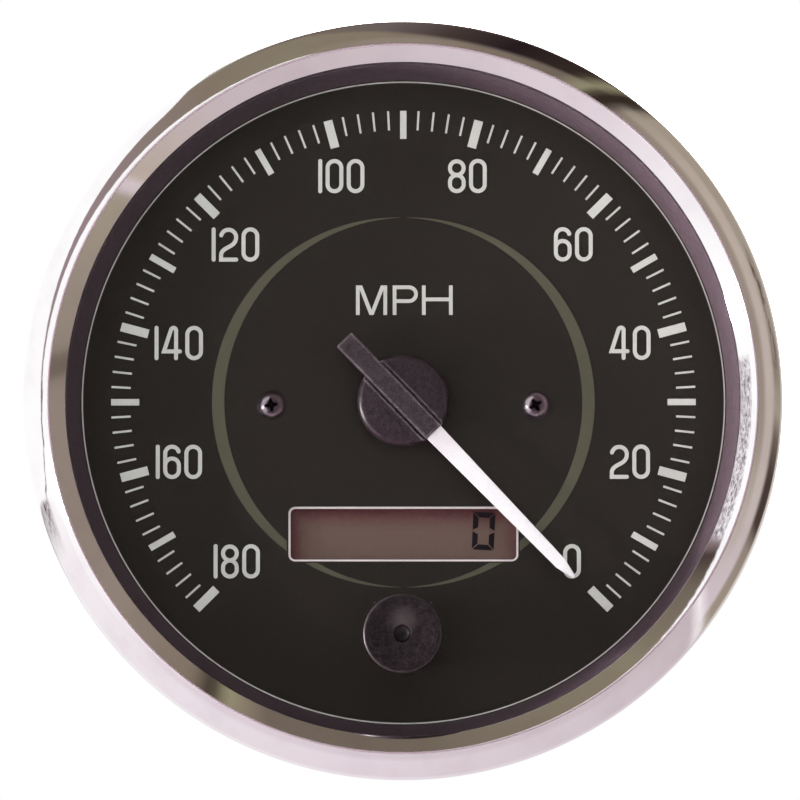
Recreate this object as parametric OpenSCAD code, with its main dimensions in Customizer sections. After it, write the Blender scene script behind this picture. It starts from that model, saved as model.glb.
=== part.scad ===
// Panel-mounted electric speedometer of the four-inch class: chromed bezel, flat lens,
// sweeping pointer, display window, and a push button that comes out through the lens.
//
// Each piece is drawn as seen by the driver: X to the right, Y up, Z towards the driver,
// with Z = 0 where the bezel seats on the panel. facing() then turns the whole gauge so
// that the dial faces -Y and +Z is up.

/* [Case] */
// Outer diameter of the body that passes through the panel hole
case_d = 100.8; // [99.5:0.1:101.6]
// Depth of the body behind the panel
case_depth = 58; // [56:1:70]
// Thickness of the case's drawn sheet
case_sheet = 1.2; // [1:0.1:1.5]
// Rounding of the case's rear edge
case_edge = 3; // [2:0.5:5]
// Step at the front of the body that centres the bezel's crimp
neck_step = 0.55; // [0.52:0.01:0.6]

/* [Bezel] */
// Thickness of the bezel's spun sheet
bezel_sheet = 1; // [0.8:0.1:1.2]
// Width of the bezel's outer face, from its crest to its edge
face_w = 3.9; // [3.6:0.1:4.6]
// Width of the bezel's inner face, from its crest to its lip
lip_w = 2.4; // [2:0.1:3]
// How far the lip reaches inside the body's wall
lip_reach = 0.5; // [0.3:0.1:1]
// Height of the crest above the lip's front edge
crest_rise = 2; // [1.6:0.1:2.4]
// Radius that rounds the crest
crest_round = 0.5; // [0.3:0.1:0.7]
// Angle between the bezel's outer face and the dial's plane
face_slope = 45; // [42:1:48]
// Radius between the outer face and the bezel's side
side_round = 3.75; // [3:0.25:4.25]
// Radius between the bezel's side and its rear crimp
crimp_round = 1.2; // [1:0.1:1.4]
// Thickness of the lip's edge
lip_edge = 0.8; // [0.6:0.1:1]

/* [Lens and shroud] */
// Thickness of the lens
lens_t = 2.2; // [1.8:0.1:3]
// Thickness of the rubber gasket between lip and lens
gasket_t = 0.8; // [0.6:0.1:1.2]
// Thickness of the shroud's flange, which carries the lens
shroud_flange = 1.4; // [1:0.1:2]
// Thickness of the shroud's wall at the lens
shroud_wall = 0.4; // [0.3:0.1:0.8]
// How much the shroud narrows from the lens to the dial, on the radius
shroud_taper = 1.6; // [1:0.1:2]

/* [Dial] */
// Depth of the dial's face behind the panel seat
dial_depth = 4; // [3.6:0.1:5]
// Thickness of the dial plate
dial_t = 0.8; // [0.6:0.1:1.2]
// Thickness of the printed marks
ink_t = 0.1; // [0.06:0.01:0.12]
// Highest speed on the scale
scale_top = 180; // [120:20:180]
// Speed between two short marks
minor_step = 2; // [2:1:5]
// Sweep of the scale in degrees
scale_sweep = 270; // [240:5:270]
// Distance from the shroud to the scale marks
mark_inset = 4.4; // [3.6:0.1:5]
// Length of a short mark
minor_mark = 2.8; // [2:0.1:3.5]
// Length of a long mark
major_mark = 4.1; // [3.6:0.1:5]
// Width of a short mark
minor_w = 0.3; // [0.2:0.05:0.5]
// Width of the marks at odd tens
tens_w = 0.93; // [0.7:0.01:1.1]
// Width of the marks with a number
numbered_w = 1.3; // [1.1:0.05:1.6]
// Distance from the shroud to the thin printed ring at the dial's edge
edge_ring_inset = 0.1; // [0.05:0.05:0.5]
// Width of that ring
edge_ring_w = 0.3; // [0.2:0.05:0.5]
// Radius of the two circles whose difference draws the crescents
crescent_r = 27; // [25:0.5:28]
// Distance of each of those circles from the middle
crescent_shift = 0.9; // [0.6:0.1:1.4]
// Diameter of a dial screw's head
dial_screw_head_d = 4.3; // [3.8:0.1:4.8]
// Height of a dial screw's head
dial_screw_head_h = 1.3; // [1:0.1:1.6]
// Diameter of a dial screw's shank
dial_screw_d = 2.2; // [2:0.1:2.4]
// Length of a dial screw's shank
dial_screw_l = 6; // [5:0.5:7]
// Distance between the dial screws
dial_screw_span = 38.5; // [37:0.5:40]
// How far the dial screws sit below the middle
dial_screw_drop = 0.45; // [0:0.05:1]

/* [Display] */
// Width of the window in the dial
window_w = 33.5; // [32:0.1:34]
// Height of the window in the dial
window_h = 8; // [7:0.1:8.4]
// Corner radius of the window
window_round = 1; // [0.5:0.1:1.5]
// Gap between the movement's can and the display's holder
display_gap = 1.1; // [0.6:0.1:1.6]
// Pale border that the chassis shows inside the window
window_border = 0.28; // [0.2:0.02:0.4]
// Width of the liquid-crystal cell
cell_w = 37.6; // [36.5:0.1:38]
// Height of the liquid-crystal cell
cell_h = 12.6; // [12:0.1:13]
// Thickness of the liquid-crystal cell
cell_t = 2.4; // [2:0.1:2.8]
// Height of the displayed digit
digit_h = 5.5; // [4.5:0.1:5.8]
// Width of the displayed digit
digit_w = 3.2; // [2.8:0.1:3.6]
// Width of one segment of the digit
segment_w = 0.78; // [0.5:0.02:0.9]
// Distance of the digit's middle from the cell's right end
digit_inset = 7.1; // [6.5:0.1:9]
// Height of the digit's middle above the cell's middle
digit_rise = 0.5; // [0:0.05:0.6]
// Wall of the holder that stands between the board and the chassis
holder_wall = 1.2; // [1:0.1:1.3]
// Width of the holder's ledge, on which the cell rests
holder_ledge = 1; // [0.8:0.1:1.1]
// Pins in each of the cell's two rows
pins_per_row = 10; // [6:1:12]
// Diameter of a pin of the cell
cell_pin_d = 0.6; // [0.5:0.05:0.7]

/* [Pointer] */
// How far below the zero mark the pointer rests, in degrees
rest_drop = 1; // [0:0.5:2]
// Diameter of the pointer's hub
hub_d = 13.3; // [12:0.1:14]
// Height of the hub's underside above the dial
hub_lift = 2.8; // [2.4:0.1:3.2]
// Thickness of the hub
hub_t = 2.2; // [2:0.1:2.6]
// Depth of the hub's channel for the arm
hub_channel = 0.8; // [0.6:0.1:1]
// Gap on each side of the arm in the channel
channel_gap = 0.4; // [0.3:0.05:0.6]
// Width of the arm
arm_w = 3.03; // [2.6:0.01:3.2]
// Thickness of the arm
arm_t = 1.5; // [1.3:0.1:1.7]
// Distance from the axis to the tail's end
tail_l = 12.3; // [11:0.1:13]
// Distance from the axis to the arm's front end
arm_front = 6.4; // [6:0.1:7]
// Distance from the axis to the blade's tip
blade_l = 35.7; // [34:0.1:37]
// Width of the blade at the arm
blade_root_w = 2.75; // [2.4:0.05:2.9]
// Width of the blade where its tip begins
blade_tip_w = 1.75; // [1.4:0.05:2]
// Length of the tip's bevel
blade_bevel = 1.8; // [1:0.1:2.2]
// Thickness of the blade
blade_t = 0.7; // [0.5:0.05:0.8]
// Length of the tongue that joins blade and arm
tongue_l = 3; // [2:0.1:3.4]
// Width of that tongue
tongue_w = 1.5; // [1.2:0.1:1.8]
// Length of the balance weight under the tail
weight_l = 3.4; // [2.5:0.1:4]
// Thickness of the balance weight
weight_t = 0.9; // [0.6:0.1:1.2]
// Diameter of the brass bush in the hub
bush_d = 3.6; // [3.2:0.1:4]
// Diameter of the spindle
spindle_d = 1.2; // [1:0.1:1.4]

/* [Movement] */
// Height of the bobbin along the spindle
bobbin_h = 10.2; // [9.6:0.1:10.6]
// Height of the bobbin's feet
bobbin_feet = 3.4; // [3:0.1:3.8]
// Diameter of a foot of the bobbin
foot_d = 1.8; // [1.6:0.1:2]
// Gap between a foot and the windings
foot_gap = 0.4; // [0.3:0.05:0.6]
// Thickness of one winding
winding_t = 1.2; // [1:0.1:1.3]
// Distance between the two halves of a winding, which leaves room for the spindle
winding_gap = 3.6; // [3.4:0.1:3.8]
// Width of each half of a winding
winding_w = 3.2; // [2.8:0.1:3.3]
// Diameter of the rotor magnet
magnet_d = 9.2; // [8.6:0.1:9.6]
// Thickness of the rotor magnet
magnet_t = 4; // [3.6:0.1:4.4]
// Space round the rotor magnet
magnet_gap = 0.4; // [0.3:0.05:0.6]
// Diameter of the bearings
bearing_d = 3; // [2.8:0.1:3.2]
// Thickness of the movement's steel can
can_t = 0.5; // [0.4:0.1:0.6]
// Diameter of a solder pin
solder_pin_d = 0.7; // [0.6:0.05:0.8]

/* [Chassis and board] */
// Thickness of the chassis plate behind the dial
chassis_t = 2.2; // [2:0.1:2.8]
// Depth of the chassis rim
chassis_rim = 4; // [3:0.5:6]
// Width of the chassis rim
chassis_rim_w = 2; // [1.5:0.1:2.5]
// Distance from the dial's face to the front of the circuit board
board_depth = 24; // [23.6:0.1:25]
// Gap between the edge of the circuit board and the case
board_gap = 5.2; // [3:0.1:6]
// Thickness of the circuit board
board_t = 1.6; // [1.2:0.2:2]
// Distance from the case's inner wall to the axis of a chassis leg
leg_inset = 9.2; // [8.5:0.1:10]
// Diameter of a chassis leg
leg_d = 6.8; // [6:0.1:7.2]
// Width of the ribs that tie the legs to the rim
rib_w = 1.4; // [1:0.1:2]
// Thread diameter of the standoffs and case screws
standoff_thread_d = 2.9; // [2.8:0.1:3]
// Width across the flats of a standoff
standoff_flats = 5.5; // [5:0.1:6]
// Diameter of a case screw's head
case_screw_head_d = 5.6; // [5:0.1:6]
// Height of a case screw's head
case_screw_head_h = 1.9; // [1.6:0.1:2.2]

/* [Button] */
// Diameter of the button's cap
cap_d = 11.4; // [10.5:0.1:12]
// Gap between cap and lens
cap_gap = 0.3; // [0.2:0.05:0.4]
// How far the cap stands out of the lens
cap_proud = 3.2; // [2.8:0.1:3.6]
// Depth of the cap below the lens's front face
cap_below = 3.4; // [3:0.1:3.8]
// Rounding of the cap's edge
cap_edge = 0.35; // [0.2:0.05:0.5]
// Width of the cap's flat rim
cap_rim = 0.4; // [0.2:0.1:0.8]
// Depth of the shallow dish in the cap
dish_h = 0.35; // [0.2:0.05:0.6]
// Diameter of the dimple in the dish
dimple_d = 2.6; // [2.2:0.1:3.2]
// Depth of the dimple below the dish
dimple_h = 0.9; // [0.6:0.1:1.1]
// Travel of the button
button_travel = 1.5; // [1:0.1:1.6]
// Gap between the display's holder and the button's guide
button_gap = 0.8; // [0.3:0.1:1]
// Diameter of the button's stem
stem_d = 4.8; // [4.4:0.1:5]
// Outer diameter of the guide
guide_d = 10; // [9.6:0.1:10.2]
// Diameter of the guide's flange behind the chassis
guide_flange_d = 12.4; // [11.6:0.1:12.6]
// Thickness of the guide's flange
guide_flange_t = 1.4; // [1:0.1:2]
// Length of the guide's bearing behind the spring's pocket
guide_bearing = 5.6; // [4.5:0.1:6.5]
// Wall of the guide round the spring
guide_wall = 1; // [0.8:0.1:1.1]
// Thickness of the return spring's wire
spring_wire = 0.7; // [0.5:0.05:0.8]
// Thickness of the clip that stops the stem
clip_t = 0.8; // [0.6:0.1:1]
// Width of the switch
switch_w = 7; // [6:0.5:7]
// Height of the switch
switch_h = 5; // [4.8:0.1:5.4]
// Diameter of the switch's plunger
plunger_d = 3.4; // [3:0.1:3.8]
// Thickness of the plunger's flange
plunger_flange = 1; // [0.8:0.1:1.2]

/* [Rear fittings] */
// Distance between the two mounting studs
stud_span = 57.2; // [56:0.2:60]
// Thread diameter of a mounting stud
stud_d = 4.8; // [4.6:0.1:5]
// Length of a mounting stud behind the case
stud_l = 16; // [12:1:20]
// Diameter of the stud's neck in the case wall
stud_neck_d = 5.2; // [5.16:0.02:5.4]
// Diameter of the stud's head inside the case
stud_head_d = 9; // [8:0.5:10]
// Thickness of the stud's head
stud_head_t = 1.2; // [1:0.1:1.5]
// Distance of the lamps to each side of the middle
lamp_x = 17; // [15.5:0.5:18]
// Height of the lamps above the middle
lamp_y = 26; // [25:0.5:27]
// Diameter of a lamp holder's body
lamp_body_d = 11.6; // [11:0.1:12.2]
// Diameter of a lamp holder's flange
lamp_flange_d = 16; // [15:0.5:17]
// Thickness of a lamp holder's flange
lamp_flange_t = 1.6; // [1.2:0.1:2]
// Height of a lamp holder's grip
lamp_grip = 5; // [4:0.5:6]
// Length of a lamp holder inside the case
lamp_body_l = 9; // [8:0.5:11]
// Depth of the bulb's socket
socket_h = 5; // [4:0.5:6]
// Diameter of a lamp bulb
bulb_d = 8; // [7:0.5:9]
// Length of a lamp bulb
bulb_l = 16; // [14:0.5:17]
// Width of one terminal blade
blade_w = 6.3; // [6:0.1:6.5]
// Thickness of one terminal blade
terminal_t = 0.8; // [0.7:0.1:0.9]
// Length of a terminal blade outside its block
terminal_l = 9; // [8:0.5:11]
// Distance between terminals in a row
terminal_pitch = 9; // [8.5:0.1:9.5]
// Distance between the two rows of terminals
terminal_rows = 5.2; // [5:0.1:6]
// Thickness of the terminal block outside the case
block_t = 2.4; // [2:0.1:3]
// How far the block reaches into the case
block_reach = 1.5; // [1:0.1:2.5]
// Border of the terminal block round the case opening
block_border = 2; // [1.5:0.1:2.5]

/* [Board parts] */
// Width of the square controller chip
chip_w = 12; // [10:0.5:14]
// Thickness of the controller chip
chip_t = 1.6; // [1:0.1:2]
// Distance of the two chips to the right of the middle
chip_x = 25; // [22:0.5:28]
// How far the controller chip sits below the middle
chip_drop = 3; // [0:0.5:6]
// Width of the pointer driver
driver_w = 8; // [6:0.5:10]
// Height of the pointer driver
driver_h = 6; // [4:0.5:7]
// Thickness of the pointer driver
driver_t = 1.5; // [1:0.1:2]
// Gap between the controller chip and the pointer driver
driver_gap = 6.5; // [4:0.5:8]
// Width of the voltage regulator
regulator_w = 7; // [6:0.5:8]
// Height of the voltage regulator
regulator_h = 8; // [6:0.5:9]
// Thickness of the voltage regulator
regulator_t = 2.3; // [1.8:0.1:2.6]
// Distance of the regulator to the left of the middle
regulator_x = 16; // [15:0.5:18]
// Diameter of a capacitor
capacitor_d = 8; // [6:0.5:9]
// Length of a capacitor
capacitor_l = 11; // [8:0.5:12]
// Distance of the capacitors to the left of the middle
capacitor_x = 30; // [28:0.5:32]
// Gap between the two capacitors
capacitor_gap = 4; // [2:0.5:6]

/* [Hidden] */
$fn = 96;

// Clearances
seat_gap = 0.05;      // round pieces that fit one another and don't move
run_gap = 0.05;       // round pieces that run in one another
loose_gap = 0.4;      // pieces that pass one another freely
tube_gap = 0.2;       // between the shroud and the case
cell_gap = 0.2;       // round the display's cell in its holder
hole_gap = 0.15;      // round screws and pins in clearance holes
bush_gap = 1.2;       // round the pointer's bush in the dial and chassis
spring_gap = 0.3;     // between the return spring and its pocket
screw_relief = 0.5;   // below a screw's end in its hole
cut = 0.5;            // how far a cutter runs past the faces that it opens

// Heights along the gauge's axis, from the panel seat towards the driver
flange_rear = bezel_sheet;
flange_front = flange_rear + case_sheet;
lens_rear = flange_front + shroud_flange;
lens_front = lens_rear + lens_t;
lip_rear = lens_front + gasket_t;
lip_front = lip_rear + lip_edge;
crest_z = lip_front + crest_rise;
dial_face = -dial_depth;
dial_rear = dial_face - dial_t;
chassis_rear = dial_rear - chassis_t;
board_front = dial_face - board_depth;
board_rear = board_front - board_t;
case_rear = -case_depth;
case_floor = case_rear + case_sheet;

// Radii of the case and of the pieces stacked inside it
case_r = case_d / 2;
case_bore_r = case_r - case_sheet;
neck_r = case_r + neck_step;
crimp_r = neck_r + seat_gap;
inner_disc_r = case_bore_r - loose_gap;
shroud_tube_r = case_bore_r - tube_gap;
shroud_mouth_r = shroud_tube_r - shroud_wall;
shroud_floor_r = shroud_mouth_r - shroud_taper;
board_r = case_bore_r - board_gap;
leg_circle_r = case_bore_r - leg_inset;

// The bezel's section: a cone outside the crest, a cone inside it
lip_r = case_bore_r - lip_reach;
crest_r = lip_r + lip_w;
bezel_r = crest_r + face_w;
outer_normal = 90 - face_slope;
inner_normal = atan2(crest_r - lip_r, -crest_rise);
side_centre_r = bezel_r - side_round;
face_end_r = side_centre_r + side_round * cos(outer_normal);
face_end_z = crest_z - (face_end_r - crest_r) * tan(face_slope);
side_z = face_end_z - side_round * sin(outer_normal);
inside_round = side_round - bezel_sheet;

// Bore of the bezel at a given height
function bezel_bore(z) =
    z <= side_z ? side_centre_r + inside_round
    : z <= side_z + inside_round * sin(outer_normal)
        ? side_centre_r + sqrt(inside_round * inside_round - (z - side_z) * (z - side_z))
    : side_centre_r + inside_round * cos(outer_normal)
        - (z - side_z - inside_round * sin(outer_normal)) / tan(face_slope);

flange_r = side_centre_r + inside_round - loose_gap;
lens_r = bezel_bore(lens_front) - loose_gap;
gasket_outer_r = bezel_bore(lip_rear) - loose_gap;
gasket_inner_r = lip_r + seat_gap;

// Points on an arc, and the point at a distance inside a corner of two faces
function arc_points(centre, r, from, to, steps) =
    [for (i = [0:steps]) centre + r * [cos(from + (to - from) * i / steps),
                                       sin(from + (to - from) * i / steps)]];
function inside_corner(p, normal_a, normal_b, d) =
    p - d / cos((normal_a - normal_b) / 2)
        * [cos((normal_a + normal_b) / 2), sin((normal_a + normal_b) / 2)];

// Where the inside of the inner cone meets the lip's rear face
lip_slope = crest_rise / (crest_r - lip_r);
inner_cone_start = [crest_r, crest_z] - bezel_sheet * [cos(inner_normal), sin(inner_normal)];
lip_back_r = inner_cone_start[0] - (inner_cone_start[1] - lip_rear) / lip_slope;

// Scale
zero_angle = -(scale_sweep - 180) / 2;
mark_count = scale_top / minor_step;
rest_angle = zero_angle - rest_drop;
mark_outer_r = shroud_floor_r - mark_inset;
edge_ring_r = shroud_floor_r - edge_ring_inset;

// Movement, in plan
foot_xy = winding_gap / 2 + winding_w + foot_gap + foot_d / 2;
bobbin_w = 2 * (foot_xy + cell_gap);
can_r = sqrt(2) * foot_xy + foot_d / 2 + 2 * seat_gap + can_t;

// Display
holder_w = cell_w + 2 * (cell_gap + holder_wall);
holder_h = cell_h + 2 * (cell_gap + holder_wall);
window_drop = can_r + display_gap + holder_h / 2;
window_middle = [0, -window_drop];
cell_rear = chassis_rear - cell_t;
pin_row_y = cell_h / 2 + cell_gap - holder_ledge - cell_pin_d - hole_gap;
pin_margin = 1.8;
pin_span = cell_w - 2 * pin_margin;
pin_pitch = pin_span / (pins_per_row - 1);
pin_tail = 1.4;

// Pointer
hub_rear = dial_face + hub_lift;
hub_front = hub_rear + hub_t;
arm_rear = hub_front - hub_channel;
arm_front_z = arm_rear + arm_t;
blade_rear = arm_rear + (arm_t - blade_t) / 2;
hub_r = hub_d / 2;
bush_tail = 1.6;
bush_cover = 0.4;
spindle_cover = 0.3;
bush_rear = hub_rear - bush_tail;
bush_front = arm_rear - bush_cover;
spindle_front = bush_front - spindle_cover;
weight_margin = 0.3;

// Movement
bobbin_rear_z = board_front + bobbin_feet;
bobbin_front_z = bobbin_rear_z + bobbin_h;
bobbin_split = bobbin_rear_z + bobbin_h / 2;
cavity_r = magnet_d / 2 + magnet_gap;
cavity_h = magnet_t + 2 * magnet_gap;
spindle_bore_r = spindle_d / 2 + run_gap;
can_room = 1;
can_front = bobbin_front_z + 2 * winding_t + can_room;
pivot_depth = 0.7;
spindle_rear = bobbin_rear_z + pivot_depth;
bearing_proud = 0.4;
front_bearing_top = can_front + bearing_proud;

// Legs, standoffs and screws
leg_angles = [35, 145, 215, 325];
leg_hole_depth = 7;
standoff_stud = 6;
case_screw_l = 6;
boss_wall = 2;
boss_floor = 0.7;
standoff_r = standoff_flats / 2 / cos(30);

// Button
button_drop = window_drop + holder_h / 2 + button_gap + guide_flange_d / 2;
button_middle = [0, -button_drop];
cap_r = cap_d / 2;
cap_front = lens_front + cap_proud;
cap_rear = lens_front - cap_below;
dish_r = cap_r - cap_edge - cap_rim;
dish_sphere_r = (dish_r * dish_r + dish_h * dish_h) / (2 * dish_h);
dimple_r = (dimple_d * dimple_d / 4 + dimple_h * dimple_h) / (2 * dimple_h);
guide_front = cap_rear - button_travel - loose_gap;
guide_flange_rear = chassis_rear - guide_flange_t;
guide_rear = guide_flange_rear - guide_bearing;
guide_tail_wall = 2;
pocket_r = guide_d / 2 - guide_wall;
spring_r = pocket_r - spring_gap;
stem_r = stem_d / 2;
stem_socket = 3;
switch_front = board_front + switch_h;
plunger_front = switch_front + button_travel;
stem_rear = plunger_front + seat_gap;
switch_floor = 0.5;
switch_lid = 0.6;
clip_w = 1.4;
clip_r = stem_r + clip_w;
clip_groove = 0.4;
plunger_flange_w = 0.6;
chamber_gap = 0.1;

// Rear fittings; the terminals are in line with the display, clear of its pins
opening_margin = 1.4;
opening_w = 2 * terminal_pitch + blade_w + 2 * opening_margin;
opening_h = terminal_rows + terminal_t + 2 * opening_margin;
leg_strip_w = 1.4;
grip_inset = 1.5;
lamp_places = [[-lamp_x, lamp_y], [lamp_x, lamp_y]];
stud_places = [[-stud_span / 2, 0], [stud_span / 2, 0]];
dial_screw_places = [
    [-dial_screw_span / 2, -dial_screw_drop],
    [dial_screw_span / 2, -dial_screw_drop]
];

// Turns the drawing so that the dial faces -Y
module facing() {
    rotate([90, 0, 0]) children();
}

// Upright cylinder between two heights
module rod(r, from, to) {
    translate([0, 0, from]) cylinder(r = r, h = to - from);
}

// Tube between two heights
module tube(outer_r, inner_r, from, to) {
    difference() {
        rod(outer_r, from, to);
        rod(inner_r, from - cut, to + cut);
    }
}

// Copies a piece to each place in a list
module at_each(places) {
    for (p = places) translate([p[0], p[1], 0]) children();
}

// Copies a piece to each chassis leg
module at_legs() {
    for (a = leg_angles)
        translate([leg_circle_r * cos(a), leg_circle_r * sin(a), 0]) children();
}

// Flat plate with round corners, centred, between two heights
module round_plate(w, h, r, from, to) {
    translate([0, 0, from])
        linear_extrude(to - from)
            union() {
                square([w - 2 * r, h], center = true);
                square([w, h - 2 * r], center = true);
                for (x = [-1, 1], y = [-1, 1])
                    translate([x * (w / 2 - r), y * (h / 2 - r)]) circle(r = r);
            }
}

// Block centred on the axis, between two heights
module block(w, h, from, to) {
    translate([-w / 2, -h / 2, from]) cube([w, h, to - from]);
}

// Spun and chromed ring, crimped round the case's flange
module bezel() {
    color("silver") facing() rotate_extrude($fn = 180)
        polygon(concat(
            [[crimp_r, 0]],
            arc_points([bezel_r - crimp_round, crimp_round], crimp_round, -90, 0, 6),
            arc_points([side_centre_r, side_z], side_round, 0, outer_normal, 8),
            arc_points(inside_corner([crest_r, crest_z], outer_normal, inner_normal, crest_round),
                crest_round, outer_normal, inner_normal, 8),
            [[lip_r, lip_front]],
            [[lip_r, lip_rear]],
            [[lip_back_r, lip_rear]],
            [inside_corner([crest_r, crest_z], outer_normal, inner_normal, bezel_sheet)],
            arc_points([side_centre_r, side_z], inside_round, outer_normal, 0, 8),
            [[side_centre_r + inside_round, bezel_sheet]],
            [[crimp_r, bezel_sheet]]
        ));
}

// Flat clear lens with a hole for the button
module lens() {
    color("lightcyan", 0.3) facing() difference() {
        rod(lens_r, lens_rear, lens_front);
        at_each([button_middle]) rod(cap_r + cap_gap, lens_rear - cut, lens_front + cut);
    }
}

// Rubber ring between the bezel's lip and the lens
module lens_gasket() {
    color("dimgray") facing() tube(gasket_outer_r, gasket_inner_r, lens_front, lip_rear);
}

// Black funnel between lens and dial, whose flange carries the lens
module dial_shroud() {
    color([0.13, 0.11, 0.13]) facing() rotate_extrude()
        polygon([
            [shroud_mouth_r, lens_rear],
            [flange_r, lens_rear],
            [flange_r, flange_front],
            [shroud_tube_r, flange_front],
            [shroud_tube_r, dial_face],
            [shroud_floor_r, dial_face]
        ]);
}

// Drawn cup with a flange at its mouth and openings in its rear wall
module case_shell() {
    inner_edge = max(case_edge - case_sheet, 0.5);
    color([0.16, 0.16, 0.17]) facing() difference() {
        rotate_extrude()
            polygon(concat(
                [[0, case_rear]],
                arc_points([case_r - case_edge, case_rear + case_edge], case_edge, -90, 0, 6),
                [[case_r, 0]],
                [[neck_r, 0]],
                [[neck_r, flange_rear]],
                [[flange_r, flange_rear]],
                [[flange_r, flange_front]],
                [[case_bore_r, flange_front]],
                arc_points([case_bore_r - inner_edge, case_floor + inner_edge], inner_edge, 0, -90, 6),
                [[0, case_floor]]
            ));
        at_each(stud_places)
            rod(stud_neck_d / 2 + seat_gap, case_rear - cut, case_floor + cut);
        at_each(lamp_places)
            rod(lamp_body_d / 2 + tube_gap, case_rear - cut, case_floor + cut);
        at_legs() rod(standoff_thread_d / 2 + hole_gap, case_rear - cut, case_floor + cut);
        at_each([window_middle])
            round_plate(opening_w, opening_h, 1, case_rear - cut, case_floor + cut);
    }
}

// Studs clinched into the rear wall, for the bracket that clamps the gauge to a panel
module mounting_studs() {
    tip = 0.6;
    color("silver") facing() at_each(stud_places) rotate_extrude()
        polygon([
            [0, case_rear - stud_l],
            [stud_d / 2 - tip, case_rear - stud_l],
            [stud_d / 2, case_rear - stud_l + tip],
            [stud_d / 2, case_rear],
            [stud_neck_d / 2, case_rear],
            [stud_neck_d / 2, case_floor],
            [stud_head_d / 2, case_floor],
            [stud_head_d / 2, case_floor + stud_head_t],
            [0, case_floor + stud_head_t]
        ]);
}

// Thin metal dial, pierced for the spindle, window, button and screws
module dial_plate() {
    color([0.18, 0.16, 0.15]) facing() difference() {
        rod(inner_disc_r, dial_rear, dial_face);
        rod(bush_d / 2 + bush_gap, dial_rear - cut, dial_face + cut);
        at_each([window_middle])
            round_plate(window_w, window_h, window_round, dial_rear - cut, dial_face + cut);
        at_each([button_middle]) rod(guide_d / 2 + hole_gap, dial_rear - cut, dial_face + cut);
        at_each(dial_screw_places)
            rod(dial_screw_d / 2 + hole_gap, dial_rear - cut, dial_face + cut);
    }
}

// One printed scale mark along +X
module mark(length, width) {
    translate([mark_outer_r - length, -width / 2, dial_face]) cube([length, width, ink_t]);
}

// One of the two printed crescents; they stop just short of each other at their horns
module crescent(side) {
    horn = crescent_shift / 2;
    difference() {
        translate([side * crescent_shift, 0, 0]) rod(crescent_r, dial_face, dial_face + ink_t);
        translate([-side * crescent_shift, 0, 0])
            rod(crescent_r, dial_face - cut, dial_face + ink_t + cut);
        translate([side > 0 ? -2 * crescent_r : -horn, -crescent_r, dial_face - cut])
            cube([2 * crescent_r + horn, 2 * crescent_r, 2 * cut]);
        at_each([window_middle])
            block(window_w + 0.4, window_h + 0.4, dial_face - cut, dial_face + cut);
    }
}

// Scale marks, edge ring and crescents, printed on the dial
module dial_graduations() {
    color("gainsboro") facing() {
        for (i = [0:mark_count]) {
            speed = i * minor_step;
            rotate([0, 0, zero_angle + scale_sweep * speed / scale_top])
                if (speed % 20 == 0) mark(major_mark, numbered_w);
                else if (speed % 10 == 0) mark(major_mark, tens_w);
                else mark(minor_mark, minor_w);
        }
        tube(edge_ring_r, edge_ring_r - edge_ring_w, dial_face, dial_face + ink_t);
        crescent(1);
        crescent(-1);
    }
}

// Two cross-recessed pan-head screws that hold the dial to the chassis
module dial_screws() {
    head_r = dial_screw_head_d / 2;
    recess_w = dial_screw_head_d * 0.14;
    recess_l = dial_screw_head_d * 0.62;
    recess_h = dial_screw_head_h * 0.6;
    edge_h = dial_screw_head_h * 0.45;
    dome_h = dial_screw_head_h - edge_h;
    dome_r = (head_r * head_r + dome_h * dome_h) / (2 * dome_h);
    head_top = dial_face + dial_screw_head_h;
    color("silver") facing() at_each(dial_screw_places) {
        difference() {
            intersection() {
                rod(head_r, dial_face, head_top);
                translate([0, 0, head_top - dome_r]) sphere(r = dome_r);
            }
            for (a = [45, 135]) rotate([0, 0, a])
                block(recess_l, recess_w, head_top - recess_h, head_top + cut);
        }
        rod(dial_screw_d / 2, dial_face - dial_screw_l, dial_face);
    }
}

// Sealed cell of the display
module display_cell() {
    color([0.42, 0.33, 0.29]) facing() at_each([window_middle])
        block(cell_w, cell_h, cell_rear, chassis_rear);
}

// Seven-segment zero, six segments lit, leaning a little to the right
module display_digit() {
    lean = 3;
    tie = 0.12;
    half_h = digit_h / 2;
    side_l = half_h - segment_w / 2 - tie;
    top_l = digit_w - 2 * tie;
    color([0.14, 0.11, 0.14]) facing()
        translate([cell_w / 2 - digit_inset, digit_rise - window_drop, chassis_rear])
            rotate([0, 0, -lean])
                linear_extrude(ink_t) {
                    for (y = [-1, 1])
                        translate([0, y * (half_h - segment_w / 2)])
                            polygon([
                                [-top_l / 2, y * segment_w / 2],
                                [top_l / 2, y * segment_w / 2],
                                [top_l / 2 - segment_w, -y * segment_w / 2],
                                [-top_l / 2 + segment_w, -y * segment_w / 2]
                            ]);
                    for (x = [-1, 1], y = [-1, 1])
                        translate([x * (digit_w / 2 - segment_w / 2), 0])
                            polygon([
                                [x * segment_w / 2, y * (half_h - tie)],
                                [x * segment_w / 2, y * tie],
                                [-x * segment_w / 2, y * (tie + segment_w / 2)],
                                [-x * segment_w / 2, y * (half_h - tie - segment_w)]
                            ]);
                }
}

// Frame that stands on the board and holds the cell against the chassis
module display_holder() {
    pocket_w = cell_w + 2 * cell_gap;
    pocket_h = cell_h + 2 * cell_gap;
    color("whitesmoke") facing() at_each([window_middle]) difference() {
        block(holder_w, holder_h, board_front, chassis_rear);
        block(pocket_w, pocket_h, cell_rear, chassis_rear + cut);
        block(pocket_w - 2 * holder_ledge, pocket_h - 2 * holder_ledge, board_front - cut,
            cell_rear + cut);
    }
}

// Places of the display's pins
module at_cell_pins(rows = [-1, 1]) {
    for (row = rows, i = [0:pins_per_row - 1])
        translate([i * pin_pitch - pin_span / 2, row * pin_row_y - window_drop, 0]) children();
}

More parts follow.
